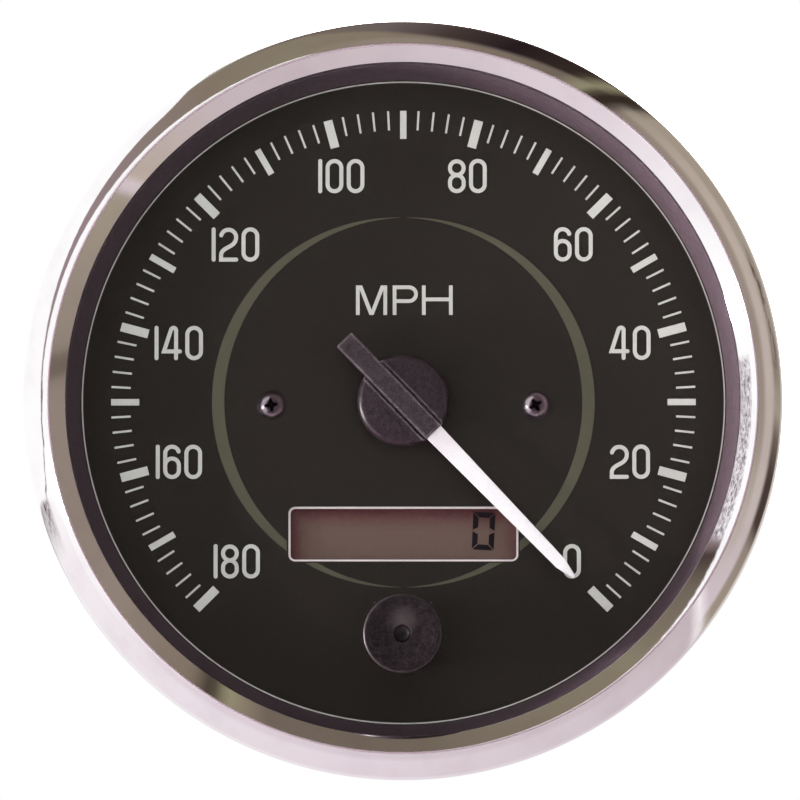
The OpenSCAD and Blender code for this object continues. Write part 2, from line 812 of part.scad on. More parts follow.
// Two rows of pins from the cell to the board
module display_pins() {
    color("goldenrod") facing()
        at_cell_pins() rod(cell_pin_d / 2, board_rear - pin_tail, cell_rear, $fn = 24);
}

// Moulded plate behind the dial, with its rim, bosses and legs
module chassis() {
    boss_r = dial_screw_d / 2 + boss_wall;
    screw_hole_rear = dial_face - dial_screw_l - screw_relief;
    boss_rear = screw_hole_rear - boss_floor;
    color("white") facing() difference() {
        union() {
            rod(inner_disc_r, chassis_rear, dial_rear);
            tube(inner_disc_r, inner_disc_r - chassis_rim_w, chassis_rear - chassis_rim, chassis_rear);
            at_each(dial_screw_places) rod(boss_r, boss_rear, chassis_rear);
            at_legs() rod(leg_d / 2, board_front, chassis_rear);
            for (a = leg_angles) rotate([0, 0, a])
                translate([leg_circle_r, -rib_w / 2, chassis_rear - chassis_rim])
                    cube([leg_inset - loose_gap - chassis_rim_w / 2, rib_w, chassis_rim]);
        }
        rod(bush_d / 2 + bush_gap, chassis_rear - cut, dial_rear + cut);
        at_each([window_middle])
            round_plate(window_w - 2 * window_border, window_h - 2 * window_border,
                window_round - window_border, chassis_rear - cut, dial_rear + cut);
        at_each([button_middle]) rod(guide_d / 2 + seat_gap, chassis_rear - cut, dial_rear + cut);
        at_each(dial_screw_places)
            rod(dial_screw_d / 2 + seat_gap, screw_hole_rear, dial_rear + cut);
        at_legs()
            rod(standoff_thread_d / 2 + seat_gap, board_front - cut, board_front + leg_hole_depth);
        at_each(lamp_places) rod(lamp_body_d / 2, chassis_rear - cut, dial_rear + cut);
    }
}

// Round printed board behind the chassis
module circuit_board() {
    color("darkgreen") facing() difference() {
        rod(board_r, board_rear, board_front);
        at_legs() rod(standoff_thread_d / 2 + hole_gap, board_rear - cut, board_front + cut);
        at_each(lamp_places) rod(lamp_body_d / 2 + loose_gap, board_rear - cut, board_front + cut);
        at_cell_pins() rod(cell_pin_d / 2 + hole_gap, board_rear - cut, board_front + cut, $fn = 24);
        at_feet() rod(solder_pin_d / 2 + hole_gap, board_rear - cut, board_front + cut, $fn = 24);
    }
}

// Controller, pointer driver and voltage regulator on the rear of the board
module board_chips() {
    driver_y = -chip_drop + chip_w / 2 + driver_gap + driver_h / 2;
    color([0.12, 0.12, 0.12]) facing() {
        translate([chip_x, -chip_drop, 0]) block(chip_w, chip_w, board_rear - chip_t, board_rear);
        translate([chip_x, driver_y, 0])
            block(driver_w, driver_h, board_rear - driver_t, board_rear);
        translate([-regulator_x, 0, 0])
            block(regulator_w, regulator_h, board_rear - regulator_t, board_rear);
    }
}

// Two round capacitors on the rear of the board
module board_capacitors() {
    pitch = capacitor_d + capacitor_gap;
    color("darkslateblue") facing()
        for (y = [-pitch / 2, pitch / 2])
            translate([-capacitor_x, y, 0])
                rod(capacitor_d / 2, board_rear - capacitor_l, board_rear);
}

// Hexagonal pillars from the board to the rear wall, each with a stud into a chassis leg
module board_standoffs() {
    bore_r = standoff_thread_d / 2 + seat_gap;
    color("gold") facing() at_legs() difference() {
        union() {
            translate([0, 0, case_floor])
                cylinder(r = standoff_r, h = board_rear - case_floor, $fn = 6);
            rod(standoff_thread_d / 2, board_rear, board_front + standoff_stud);
        }
        rod(bore_r, case_floor - cut, case_floor + case_screw_l + screw_relief);
    }
}

// Screws through the rear wall into the standoffs
module case_screws() {
    head_r = case_screw_head_d / 2;
    dome_r = (head_r * head_r + case_screw_head_h * case_screw_head_h) / (2 * case_screw_head_h)
        + 0.6;
    slot_w = 0.8;
    head_rear = case_rear - case_screw_head_h;
    color("silver") facing() at_legs() {
        difference() {
            intersection() {
                rod(head_r, head_rear, case_rear);
                translate([0, 0, head_rear + dome_r]) sphere(r = dome_r);
            }
            for (a = [0, 90]) rotate([0, 0, a])
                block(head_r * 1.2, slot_w, head_rear - cut, head_rear + case_screw_head_h * 0.55);
        }
        rod(standoff_thread_d / 2, case_rear, case_floor + case_screw_l);
    }
}

// Steel can round the movement, open at the board and lipped at the front
module movement_can() {
    can_lip = 1.8;
    color("lightslategray") facing() {
        difference() {
            rod(can_r, board_front, can_front);
            rod(can_r - can_t, board_front - cut, can_front - can_t);
            rod(can_r - can_lip, board_front - cut, can_front + cut);
        }
    }
}

// Places of the bobbin's four feet
module at_feet() {
    for (x = [-1, 1], y = [-1, 1]) translate([x * foot_xy, y * foot_xy, 0]) children();
}

// Front half of the bobbin, with the front bearing's seat
module bobbin_front() {
    color("ivory") facing() difference() {
        block(bobbin_w, bobbin_w, bobbin_split, bobbin_front_z);
        rod(cavity_r, bobbin_split - cut, bobbin_split + cavity_h / 2);
        rod(bearing_d / 2, bobbin_split, bobbin_front_z + cut);
    }
}

// Rear half of the bobbin, with its feet and the rear bearing's seat
module bobbin_rear() {
    color("ivory") facing() difference() {
        union() {
            block(bobbin_w, bobbin_w, bobbin_rear_z, bobbin_split);
            at_feet() rod(foot_d / 2, board_front, bobbin_rear_z + cut);
        }
        rod(cavity_r, bobbin_split - cavity_h / 2, bobbin_split + cut);
        rod(bearing_d / 2, bobbin_rear_z - cut, bobbin_split);
        at_feet() rod(solder_pin_d / 2 + seat_gap, board_front - cut, bobbin_rear_z, $fn = 24);
    }
}

// One winding: two flat loops, one on each side of the spindle, standing along X
module winding(layer) {
    inner_x = bobbin_w / 2;
    from = bobbin_rear_z - layer * winding_t;
    to = bobbin_front_z + layer * winding_t;
    for (side = [-1, 1])
        translate([0, side * (winding_gap + winding_w) / 2, 0])
            difference() {
                block(2 * (inner_x + winding_t), winding_w, from - winding_t, to + winding_t);
                block(2 * inner_x, winding_w + 2 * cut, from, to);
            }
}

// Winding next to the bobbin
module inner_winding() {
    color("chocolate") facing() winding(0);
}

// Winding that crosses over the first at a right angle
module outer_winding() {
    color("sienna") facing() rotate([0, 0, 90]) winding(1);
}

// Sleeve that guides the spindle at the front
module front_bearing() {
    color("khaki") facing()
        tube(bearing_d / 2, spindle_bore_r, bobbin_split + cavity_h / 2, front_bearing_top);
}

// Cup that carries the spindle's rear end
module rear_bearing() {
    color("khaki") facing() difference() {
        rod(bearing_d / 2, bobbin_rear_z, bobbin_split - cavity_h / 2);
        rod(spindle_bore_r, bobbin_rear_z + pivot_depth, bobbin_split);
    }
}

// Four pins from the bobbin's feet through the board
module movement_pins() {
    color("goldenrod") facing()
        at_feet() rod(solder_pin_d / 2, board_rear - pin_tail, bobbin_rear_z - seat_gap, $fn = 24);
}

// Turns a piece of the pointer from +X to the pointer's place at rest
module along_pointer() {
    facing() rotate([0, 0, rest_angle]) children();
}

// Round hub with a channel for the arm and a bore for the bush
module pointer_hub() {
    edge = 0.5;
    color([0.2, 0.17, 0.19]) along_pointer() difference() {
        rotate_extrude()
            polygon(concat(
                [[0, hub_rear]],
                [[hub_r, hub_rear]],
                arc_points([hub_r - edge, hub_front - edge], edge, 0, 90, 6),
                [[0, hub_front]]
            ));
        block(2 * hub_d, arm_w + 2 * channel_gap, arm_rear, hub_front + cut);
        rod(bush_d / 2, hub_rear - cut, bush_front);
    }
}

// Moulded arm that lies in the hub's channel, with its long tail
module pointer_arm() {
    edge = 0.25;
    color([0.2, 0.17, 0.19]) along_pointer() difference() {
        translate([-tail_l, 0, arm_rear])
            rotate([90, 0, 90])
                linear_extrude(tail_l + arm_front)
                    polygon([
                        [-arm_w / 2, 0],
                        [arm_w / 2, 0],
                        [arm_w / 2, arm_t - edge],
                        [arm_w / 2 - edge, arm_t],
                        [-arm_w / 2 + edge, arm_t],
                        [-arm_w / 2, arm_t - edge]
                    ]);
        translate([arm_front - tongue_l - seat_gap, -tongue_w / 2 - seat_gap, blade_rear - seat_gap])
            cube([tongue_l + cut, tongue_w + 2 * seat_gap, blade_t + 2 * seat_gap]);
    }
}

// White blade, bevelled to a small round tip, with a tongue into the arm
module pointer_blade() {
    tip_r = 0.45;
    bevel_x = blade_l - blade_bevel;
    color("white") along_pointer() translate([0, 0, blade_rear]) linear_extrude(blade_t) {
        polygon([
            [arm_front, -blade_root_w / 2],
            [bevel_x, -blade_tip_w / 2],
            [blade_l - tip_r, -tip_r],
            [blade_l - tip_r, tip_r],
            [bevel_x, blade_tip_w / 2],
            [arm_front, blade_root_w / 2]
        ]);
        translate([blade_l - tip_r, 0]) circle(r = tip_r, $fn = 48);
        translate([arm_front - tongue_l, -tongue_w / 2]) square([tongue_l + 1, tongue_w]);
    }
}

// Small steel weight under the tail that balances the blade
module pointer_weight() {
    color("gray") along_pointer()
        translate([-tail_l + weight_margin, -arm_w / 2 + weight_margin, arm_rear - weight_t])
            cube([weight_l, arm_w - 2 * weight_margin, weight_t]);
}

// Brass bush that presses the hub onto the spindle
module pointer_bush() {
    color("gold") facing() difference() {
        rod(bush_d / 2, bush_rear, bush_front);
        rod(spindle_d / 2, bush_rear - cut, spindle_front);
    }
}

// Steel spindle from the rear bearing to the hub
module spindle() {
    color("silver") facing() rod(spindle_d / 2, spindle_rear, spindle_front);
}

// Magnet that the crossed windings turn
module rotor_magnet() {
    color([0.3, 0.3, 0.32]) facing()
        tube(magnet_d / 2, spindle_d / 2, bobbin_split - magnet_t / 2, bobbin_split + magnet_t / 2);
}

// Cap with a shallow dish and a dimple, in the lens's hole
module button_cap() {
    dish_floor = cap_front - dish_h;
    color([0.19, 0.16, 0.18]) facing() at_each([button_middle]) difference() {
        rotate_extrude()
            polygon(concat(
                [[0, cap_rear]],
                [[cap_r, cap_rear]],
                arc_points([cap_r - cap_edge, cap_front - cap_edge], cap_edge, 0, 90, 6),
                [[0, cap_front]]
            ));
        translate([0, 0, dish_floor + dish_sphere_r]) sphere(r = dish_sphere_r);
        translate([0, 0, dish_floor - dimple_h + dimple_r]) sphere(r = dimple_r, $fn = 48);
        rod(stem_r + seat_gap, cap_rear - cut, cap_rear + stem_socket);
    }
}

// Long stem from the cap to the switch, grooved for its clip
module button_stem() {
    color([0.19, 0.16, 0.18]) facing() at_each([button_middle]) difference() {
        rod(stem_r, stem_rear, cap_rear + stem_socket);
        tube(stem_r + cut, stem_r - clip_groove, guide_rear - clip_t - 2 * seat_gap, guide_rear);
    }
}

// Retaining clip in the stem's groove
module button_clip() {
    color("silver") facing() at_each([button_middle])
        tube(clip_r, stem_r - clip_groove + seat_gap, guide_rear - clip_t - seat_gap,
            guide_rear - seat_gap);
}

// Return spring in the guide's pocket, as a plain sleeve of the coil's own size
module button_spring() {
    color("lightgray") facing() at_each([button_middle])
        tube(spring_r, spring_r - spring_wire, guide_flange_rear, cap_rear);
}

// Guide that stands in the chassis and dial and steers the stem
module button_guide() {
    color([0.15, 0.14, 0.15]) facing() at_each([button_middle]) difference() {
        union() {
            rod(guide_d / 2, guide_flange_rear, guide_front);
            rod(guide_flange_d / 2, guide_flange_rear, chassis_rear);
            rod(stem_r + guide_tail_wall, guide_rear, guide_flange_rear);
        }
        rod(pocket_r, guide_flange_rear, guide_front + cut);
        rod(stem_r + run_gap, guide_rear - cut, guide_front + cut);
    }
}

// Switch on the board, with a chamber for its plunger
module switch_body() {
    chamber_r = plunger_d / 2 + plunger_flange_w + chamber_gap;
    color([0.12, 0.12, 0.13]) facing() at_each([button_middle]) difference() {
        block(switch_w, switch_w, board_front, switch_front);
        rod(chamber_r, board_front + switch_floor, switch_front - switch_lid);
        rod(plunger_d / 2 + run_gap, board_front + switch_floor, switch_front + cut);
    }
}

// Flanged plunger that the stem presses
module switch_plunger() {
    flange_front_z = switch_front - switch_lid - seat_gap;
    color("ivory") facing() at_each([button_middle]) {
        rod(plunger_d / 2, flange_front_z - plunger_flange, plunger_front);
        rod(plunger_d / 2 + plunger_flange_w, flange_front_z - plunger_flange, flange_front_z);
    }
}

// Places of the six terminals
module at_terminals() {
    for (column = [-1:1], row = [-1, 1])
        translate([column * terminal_pitch, row * terminal_rows / 2 - window_drop, 0]) children();
}

// Insulating block in the rear wall, slotted for the terminals
module terminal_block() {
    color([0.2, 0.2, 0.21]) facing() difference() {
        at_each([window_middle]) union() {
            round_plate(opening_w + 2 * block_border, opening_h + 2 * block_border, 1.5,
                case_rear - block_t, case_rear);
            round_plate(opening_w - 2 * tube_gap, opening_h - 2 * tube_gap, 0.8, case_rear,
                case_floor + block_reach);
        }
        at_terminals()
            block(blade_w + 2 * seat_gap, terminal_t + 2 * seat_gap, case_rear - block_t - cut,
                case_floor + block_reach + cut);
    }
}

// Six spade terminals, each with a narrow leg to the board
module terminal_blades() {
    chamfer = 1;
    hole_r = 0.9;
    tip = case_rear - block_t - terminal_l;
    shoulder = case_floor + block_reach;
    color("gold") facing() at_terminals() difference() {
        translate([0, terminal_t / 2, 0]) rotate([90, 0, 0]) linear_extrude(terminal_t)
            polygon([
                [-blade_w / 2, tip + 1.5 * chamfer],
                [-blade_w / 2 + chamfer, tip],
                [blade_w / 2 - chamfer, tip],
                [blade_w / 2, tip + 1.5 * chamfer],
                [blade_w / 2, shoulder],
                [leg_strip_w / 2, shoulder],
                [leg_strip_w / 2, board_rear],
                [-leg_strip_w / 2, board_rear],
                [-leg_strip_w / 2, shoulder],
                [-blade_w / 2, shoulder]
            ]);
        translate([0, 0, tip + 4]) rotate([90, 0, 0]) rod(hole_r, -terminal_t, terminal_t, $fn = 32);
    }
}

// Twist-in lamp holders, with a grip outside the case and a socket for the bulb inside
module lamp_holders() {
    socket_r = bulb_d / 2 + seat_gap;
    grip_w = 3;
    color([0.85, 0.84, 0.8]) facing() at_each(lamp_places) difference() {
        union() {
            rod(lamp_flange_d / 2, case_rear - lamp_flange_t, case_rear);
            rod(lamp_body_d / 2, case_rear, case_floor + lamp_body_l);
            block(lamp_flange_d - 2 * grip_inset, grip_w, case_rear - lamp_flange_t - lamp_grip,
                case_rear - lamp_flange_t);
        }
        rod(socket_r, case_floor + lamp_body_l - socket_h, case_floor + lamp_body_l + cut);
    }
}

// Glass bulbs with round tops
module lamp_bulbs() {
    bulb_r = bulb_d / 2;
    bulb_rear = case_floor + lamp_body_l - socket_h;
    color("lightyellow", 0.5) facing() at_each(lamp_places) {
        rod(bulb_r, bulb_rear, bulb_rear + bulb_l - bulb_r);
        translate([0, 0, bulb_rear + bulb_l - bulb_r]) sphere(r = bulb_r);
    }
}

bezel();
lens();
lens_gasket();
dial_shroud();
case_shell();
mounting_studs();
dial_plate();
dial_graduations();
dial_screws();
display_cell();
display_digit();
display_holder();
display_pins();
chassis();
circuit_board();
board_chips();
board_capacitors();
board_standoffs();
case_screws();
movement_can();
bobbin_front();
bobbin_rear();
inner_winding();
outer_winding();
front_bearing();
rear_bearing();
movement_pins();
pointer_hub();
pointer_arm();
pointer_blade();
pointer_weight();
pointer_bush();
spindle();
rotor_magnet();
button_cap();
button_stem();
button_clip();
button_spring();
button_guide();
switch_body();
switch_plunger();
terminal_block();
terminal_blades();
lamp_holders();
lamp_bulbs();
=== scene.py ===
"""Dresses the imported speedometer: chromed bezel, lens, printed dial, display, pointer, button and rear fittings.

Shapes are drawn as the driver sees them, in millimetres: x to the right, y up, z towards the driver from the
panel seat. draw_to_world turns them into the frame's metres, where the dial faces -Y and +Z is up.
"""

import math

import bmesh
import bpy
from bpy.props import FloatProperty, FloatVectorProperty, PointerProperty
from bpy.types import Operator, Panel, PropertyGroup
from mathutils import Matrix, Vector
from mathutils.geometry import delaunay_2d_cdt


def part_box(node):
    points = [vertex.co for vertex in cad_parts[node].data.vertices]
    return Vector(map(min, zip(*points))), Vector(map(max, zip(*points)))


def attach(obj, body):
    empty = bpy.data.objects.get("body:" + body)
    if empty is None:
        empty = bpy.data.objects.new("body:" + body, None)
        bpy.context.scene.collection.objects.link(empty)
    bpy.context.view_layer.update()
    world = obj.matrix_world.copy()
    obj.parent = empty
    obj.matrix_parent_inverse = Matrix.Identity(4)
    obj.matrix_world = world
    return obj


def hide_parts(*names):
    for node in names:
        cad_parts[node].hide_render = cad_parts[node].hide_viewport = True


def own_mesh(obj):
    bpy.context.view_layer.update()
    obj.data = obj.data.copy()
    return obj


bl_info = {
    "name": "Panel speedometer",
    "version": (1, 0, 0),
    "blender": (4, 5, 0),
    "location": "3D View > Sidebar > Speedometer",
    "description": "Builds the visible pieces of a panel-mounted speedometer round its packed model",
    "category": "Object",
}

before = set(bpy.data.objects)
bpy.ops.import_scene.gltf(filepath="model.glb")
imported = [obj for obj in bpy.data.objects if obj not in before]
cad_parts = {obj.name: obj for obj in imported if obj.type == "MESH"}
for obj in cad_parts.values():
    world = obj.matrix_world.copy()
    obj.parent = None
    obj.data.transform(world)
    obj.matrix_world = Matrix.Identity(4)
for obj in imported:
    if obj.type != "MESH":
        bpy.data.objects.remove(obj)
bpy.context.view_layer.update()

draw_to_world = Matrix.Scale(0.001, 4) @ Matrix.Rotation(math.radians(90), 4, "X")
finishes = {}
white = (1, 1, 1)
shank_gap = 0.02  # from the start of a screw's thread to the face under its head


# Values

def srgb(red, green, blue):
    """A screen colour from 0 to 255 as the light values that a shader takes."""
    def light(value):
        value /= 255
        return value / 12.92 if value <= 0.04045 else ((value + 0.055) / 1.055) ** 2.4
    return light(red), light(green), light(blue)


def size(name, description, mm):
    return FloatProperty(name=name, description=description, default=mm / 1000, min=0,
                         unit="LENGTH", precision=5)


def angle(name, description, degrees):
    return FloatProperty(name=name, description=description, default=math.radians(degrees),
                         subtype="ANGLE")


def tint(name, description, *screen):
    return FloatVectorProperty(name=name, description=description, default=srgb(*screen), min=0, max=1,
                               size=3, subtype="COLOR")


def amount(name, description, value):
    return FloatProperty(name=name, description=description, default=value, min=0)


def mm(value):
    """Millimetres of a size that a property holds in metres."""
    return value * 1000


def span(node):
    """Lowest and highest corner of a CAD node, in the drawing's millimetres."""
    low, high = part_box(node)
    return 1000 * Vector((low.x, low.z, -high.y)), 1000 * Vector((high.x, high.z, -low.y))


def round_place(node):
    """Middle and radius of a round CAD node."""
    low, high = span(node)
    return ((low.x + high.x) / 2, (low.y + high.y) / 2), (high.x - low.x) / 2


def settings():
    return bpy.context.scene.speedo


# Shapes

def arc(centre, r, start, stop, steps):
    """Points on an arc in the section plane, angles in degrees."""
    turns = [math.radians(start + (stop - start) * i / steps) for i in range(steps + 1)]
    return [(centre[0] + r * math.cos(t), centre[1] + r * math.sin(t)) for t in turns]


def bezier(a, b, c, d, steps):
    """Points on a cubic curve, without its first one."""
    points = []
    for i in range(1, steps + 1):
        t = i / steps
        u = 1 - t
        points.append(tuple(
            u ** 3 * a[k] + 3 * u * u * t * b[k] + 3 * u * t * t * c[k] + t ** 3 * d[k] for k in (0, 1)))
    return points


def lathe(profile, steps, centre=(0, 0), closed=True):
    """Turns a section of (radius, height) points about the z axis."""
    bm = bmesh.new()
    rings = []
    for r, z in profile:
        if r < 1e-6:
            rings.append([bm.verts.new((centre[0], centre[1], z))] * steps)
            continue
        turns = [math.tau * i / steps for i in range(steps)]
        rings.append([bm.verts.new((centre[0] + r * math.cos(t), centre[1] + r * math.sin(t), z))
                      for t in turns])
    pairs = list(zip(rings, rings[1:])) + ([(rings[-1], rings[0])] if closed else [])
    for lower, upper in pairs:
        for i in range(steps):
            j = (i + 1) % steps
            corners = []
            for v in (lower[i], lower[j], upper[j], upper[i]):
                if v not in corners:
                    corners.append(v)
            if len(corners) > 2:
                bm.faces.new(corners)
    bmesh.ops.recalc_face_normals(bm, faces=bm.faces)
    return bm


def skinned(bm, rings):
    """Joins rings of vertices to a tube with closed ends."""
    for lower, upper in zip(rings, rings[1:]):
        for i in range(len(lower)):
            j = (i + 1) % len(lower)
            bm.faces.new((lower[i], lower[j], upper[j], upper[i]))
    bm.faces.new(rings[0])
    bm.faces.new(rings[-1])
    bmesh.ops.recalc_face_normals(bm, faces=bm.faces)
    return bm


def raised(bm, base, height):
    """Makes a solid from flat faces."""
    grown = bmesh.ops.extrude_face_region(bm, geom=base)["geom"]
    bmesh.ops.translate(bm, vec=(0, 0, height), verts=[g for g in grown if isinstance(g, bmesh.types.BMVert)])
    bmesh.ops.recalc_face_normals(bm, faces=bm.faces)
    return bm


def prism(outline, low, high):
    """Upright solid from an outline of (x, y) points."""
    bm = bmesh.new()
    return raised(bm, [bm.faces.new([bm.verts.new((x, y, low)) for x, y in outline])], high - low)


def box(x, y, z):
    """Box between pairs of lowest and highest values."""
    return prism([(x[0], y[0]), (x[1], y[0]), (x[1], y[1]), (x[0], y[1])], z[0], z[1])


def rod(r, low, high, centre=(0, 0), steps=64, edge=0.0):
    """Cylinder with its two rims broken by edge."""
    edge = min(edge, r * 0.9)
    section = [(0, low), (r - edge, low), (r, low + edge), (r, high - edge), (r - edge, high), (0, high)]
    if not edge:
        section = [(0, low), (r, low), (r, high), (0, high)]
    return lathe(section, steps, centre, closed=False)


def bevel(bm, width, steps=2, sharp=50):
    """Rounds the edges that are sharper than an angle."""
    edges = [e for e in bm.edges if len(e.link_faces) == 2 and e.calc_face_angle(0) > math.radians(sharp)]
    bmesh.ops.bevel(bm, geom=edges, offset=width, segments=steps, profile=0.5, affect="EDGES",
                    clamp_overlap=True)
    return bm


def turned(bm, degrees, axis="Z"):
    """Turns a shape about an axis through the drawing's origin."""
    bmesh.ops.rotate(bm, matrix=Matrix.Rotation(math.radians(degrees), 3, axis), verts=bm.verts)
    return bm


def moved(bm, x=0, y=0, z=0):
    bmesh.ops.translate(bm, vec=(x, y, z), verts=bm.verts)
    return bm


def joined(*shapes):
    """Puts several shapes into one mesh, each as a shell of its own."""
    whole = bmesh.new()
    for shape in shapes:
        mesh = bpy.data.meshes.new("part")
        shape.to_mesh(mesh)
        whole.from_mesh(mesh)
        bpy.data.meshes.remove(mesh)
    return whole


def linked(name, data):
    """Object in the scene from a mesh, a camera or a lamp."""
    obj = bpy.data.objects.new(name, data)
    bpy.context.scene.collection.objects.link(obj)
    return obj


def carved(shape, *cutters, operation="DIFFERENCE"):
    """Cuts shapes out of a shape, or adds them to it."""
    helpers = []
    for bm in (shape, *cutters):
        mesh = bpy.data.meshes.new("helper")
        bm.to_mesh(mesh)
        helpers.append(linked("helper", mesh))
    for cutter in helpers[1:]:
        cut = helpers[0].modifiers.new("cut", "BOOLEAN")
        cut.object, cut.operation, cut.solver = cutter, operation, "EXACT"
    result = helpers[0].evaluated_get(bpy.context.evaluated_depsgraph_get())
    bm = bmesh.new()
    bm.from_mesh(result.to_mesh())
    result.to_mesh_clear()
    for helper in helpers:
        mesh = helper.data
        bpy.data.objects.remove(helper)
        bpy.data.meshes.remove(mesh)
    bmesh.ops.remove_doubles(bm, verts=bm.verts, dist=1e-5)
    return bm


def thread(r, pitch, low, high, steps=36, centre=(0, 0)):
    """Rod along z with a helical V thread, running out at both ends."""
    depth = 0.61 * pitch
    per_pitch = 10
    count = int((high - low) / pitch * per_pitch)
    bm = bmesh.new()
    rings = []
    for k in range(count + 1):
        z = low + (high - low) * k / count
        ring = []
        for j in range(steps):
            turn = j / steps
            phase = ((z - low) / pitch - turn) % 1
            crest = min(max(abs(2 * phase - 1) * 1.25 - 0.125, 0), 1)
            fade = min(1, (z - low) / (0.8 * pitch), (high - z) / (0.8 * pitch))
            bite = r - depth * (1 - crest) * max(fade, 0) - 0.35 * pitch * max(0, 1 - (z - low) / (0.6 * pitch))
            t = math.tau * turn
            ring.append(bm.verts.new((centre[0] + bite * math.cos(t), centre[1] + bite * math.sin(t), z)))
        rings.append(ring)
    return skinned(bm, rings)


def piece(name, bm, finish, body, *replaces, slot=None, sharp=32):
    """Makes an object from a drawn shape and hands it to the frame. The slot argument is not used."""
    slot = slot or finish
    bm.transform(draw_to_world)
    mesh = bpy.data.meshes.new(name)
    bm.to_mesh(mesh)
    bm.free()
    for face in mesh.polygons:
        face.use_smooth = True
    mesh.set_sharp_from_angle(angle=math.radians(sharp))
    obj = linked(name, mesh)
    obj.modifiers.new("even shading", "WEIGHTED_NORMAL").keep_sharp = True
    mesh.materials.append(finishes[finish])
    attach(obj, body)
    if replaces:
        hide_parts(*replaces)
    return obj


def dress(finish, *nodes):
    """Gives CAD nodes that stay a finish."""
    for name in nodes:
        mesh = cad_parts[name].data
        mesh.materials.clear()
        mesh.materials.append(finishes[finish])


# Strokes for numerals and letters

def stroke(points, width, closed=False, round_ends=True):
    """Outline quads of a pen stroke along points, with mitred corners."""
    points = [p for i, p in enumerate(points) if not i or (Vector(p) - Vector(points[i - 1])).length > 1e-4]
    count = len(points)
    sides = []
    for i, p in enumerate(points):
        before = points[i - 1] if i or closed else None
        after = points[(i + 1) % count] if i < count - 1 or closed else None
        ahead = Vector(after) - Vector(p) if after else Vector(p) - Vector(before)
        behind = Vector(p) - Vector(before) if before else ahead
        ahead, behind = ahead.normalized(), behind.normalized()
        normal = Vector((-ahead.y - behind.y, ahead.x + behind.x)).normalized()
        reach = width / 2 / max(0.3, normal.dot(Vector((-ahead.y, ahead.x))))
        sides.append((Vector(p) + reach * normal, Vector(p) - reach * normal))
    pairs = list(zip(sides, sides[1:])) + ([(sides[-1], sides[0])] if closed else [])
    polygons = [[a[0], a[1], b[1], b[0]] for a, b in pairs]
    if round_ends and not closed:
        for p, inward in ((points[0], points[1]), (points[-1], points[-2])):
            out = Vector(p) - Vector(inward)
            heading = math.degrees(math.atan2(out.y, out.x))
            polygons.append([Vector(q) for q in arc(p, width / 2, heading - 90, heading + 90, 14)])
    return polygons


def inked(polygons, low, high):
    """One thin solid from overlapping convex polygons of (x, y) points."""
    coords, faces = [], []
    for polygon in polygons:
        faces.append(list(range(len(coords), len(coords) + len(polygon))))
        coords += [Vector(p[:2]) for p in polygon]
    points, _, triangles, _, _, _ = delaunay_2d_cdt(coords, [], faces, 0, 1e-5)
    bm = bmesh.new()
    floor = [bm.verts.new((p.x, p.y, low)) for p in points]
    base = []
    for corners in triangles:
        middle = sum((points[i] for i in corners), Vector((0, 0))) / 3
        if any(holds(polygon, middle) for polygon in polygons):
            base.append(bm.faces.new([floor[i] for i in corners]))
    bmesh.ops.delete(bm, geom=[v for v in bm.verts if not v.link_faces], context="VERTS")
    return raised(bm, base, high - low)


def holds(polygon, point):
    """Whether a convex polygon holds a point."""
    sides = [(b[0] - a[0]) * (point[1] - a[1]) - (b[1] - a[1]) * (point[0] - a[0])
             for a, b in zip(polygon, polygon[1:] + polygon[:1])]
    return min(sides) >= 0 or max(sides) <= 0


def digit(character, h, w, pen):
    """Pen strokes of one digit in a box w wide and h high, and the width that it takes up."""
    w, h = w - pen, h - pen
    r = w / 2
    top = h - r
    if character == "1":
        strokes, w = [([(0, 0), (0, h)], False)], 0
    elif character == "0":
        strokes = [(arc((r, top), r, 0, 180, 20) + arc((r, r), r, 180, 360, 20), True)]
    elif character == "8":
        waist = 0.525 * h
        upper = (h - waist) / 2
        strokes = [
            (arc((r, waist + upper), min(r, upper), 0, 360, 40)[:-1], True),
            (arc((r, waist - r), r, 0, 180, 20) + arc((r, r), r, 180, 360, 20), True),
        ]
    elif character == "6":
        bowl = 0.61 * h
        strokes = [
            (arc((r, top), r, 18, 180, 18) + arc((r, r), r, 180, 360, 20) + arc((r, bowl - r), r, 0, 170, 18),
             False),
        ]
    elif character == "2":
        w *= 1.1
        r = w / 2
        middle = 0.74 * h
        points = arc((r, middle), r, 165, 0, 18)
        points += bezier((w, middle), (w, 0.545 * h), (0.72 * w, 0.475 * h), (0.48 * w, 0.41 * h), 10)
        points += bezier((0.48 * w, 0.41 * h), (0.22 * w, 0.345 * h), (0, 0.28 * h), (0, 0.13 * h), 10)
        strokes = [(points + [(0, 0), (w, 0)], False)]
    elif character == "4":
        w *= 1.16
        stem = 0.76 * w
        bar = 0.222 * h
        lean = math.degrees(math.atan2(0.96 * h - bar, 0.6 * w))
        strokes = [
            ([(w, bar), (0, bar)] + arc((stem - 0.16 * w, h - 0.16 * w), 0.16 * w, lean + 90, 0, 8)
             + [(stem, 0)], False),
        ]
    return strokes, w + pen


def number(text, x, y, h, w, pen, gap):
    """Polygons of a number centred on a place."""
    laid, width = [], -gap
    for character in text:
        strokes, advance = digit(character, h, w, pen)
        laid.append((strokes, width + gap + pen / 2))
        width += gap + advance
    polygons = []
    for strokes, left in laid:
        for points, closed in strokes:
            shifted = [(x - width / 2 + left + p[0], y - h / 2 + pen / 2 + p[1]) for p in points]
            polygons += stroke(shifted, pen, closed)
    return polygons


# Shader values and groups

def formula(operation, swapped=False):
    """A method that puts a field and other values into a Math node."""
    def work(self, *others):
        values = (*others, self) if swapped else (self, *others)
        return self.made("ShaderNodeMath", dict(enumerate(values)), operation=operation)
    return work


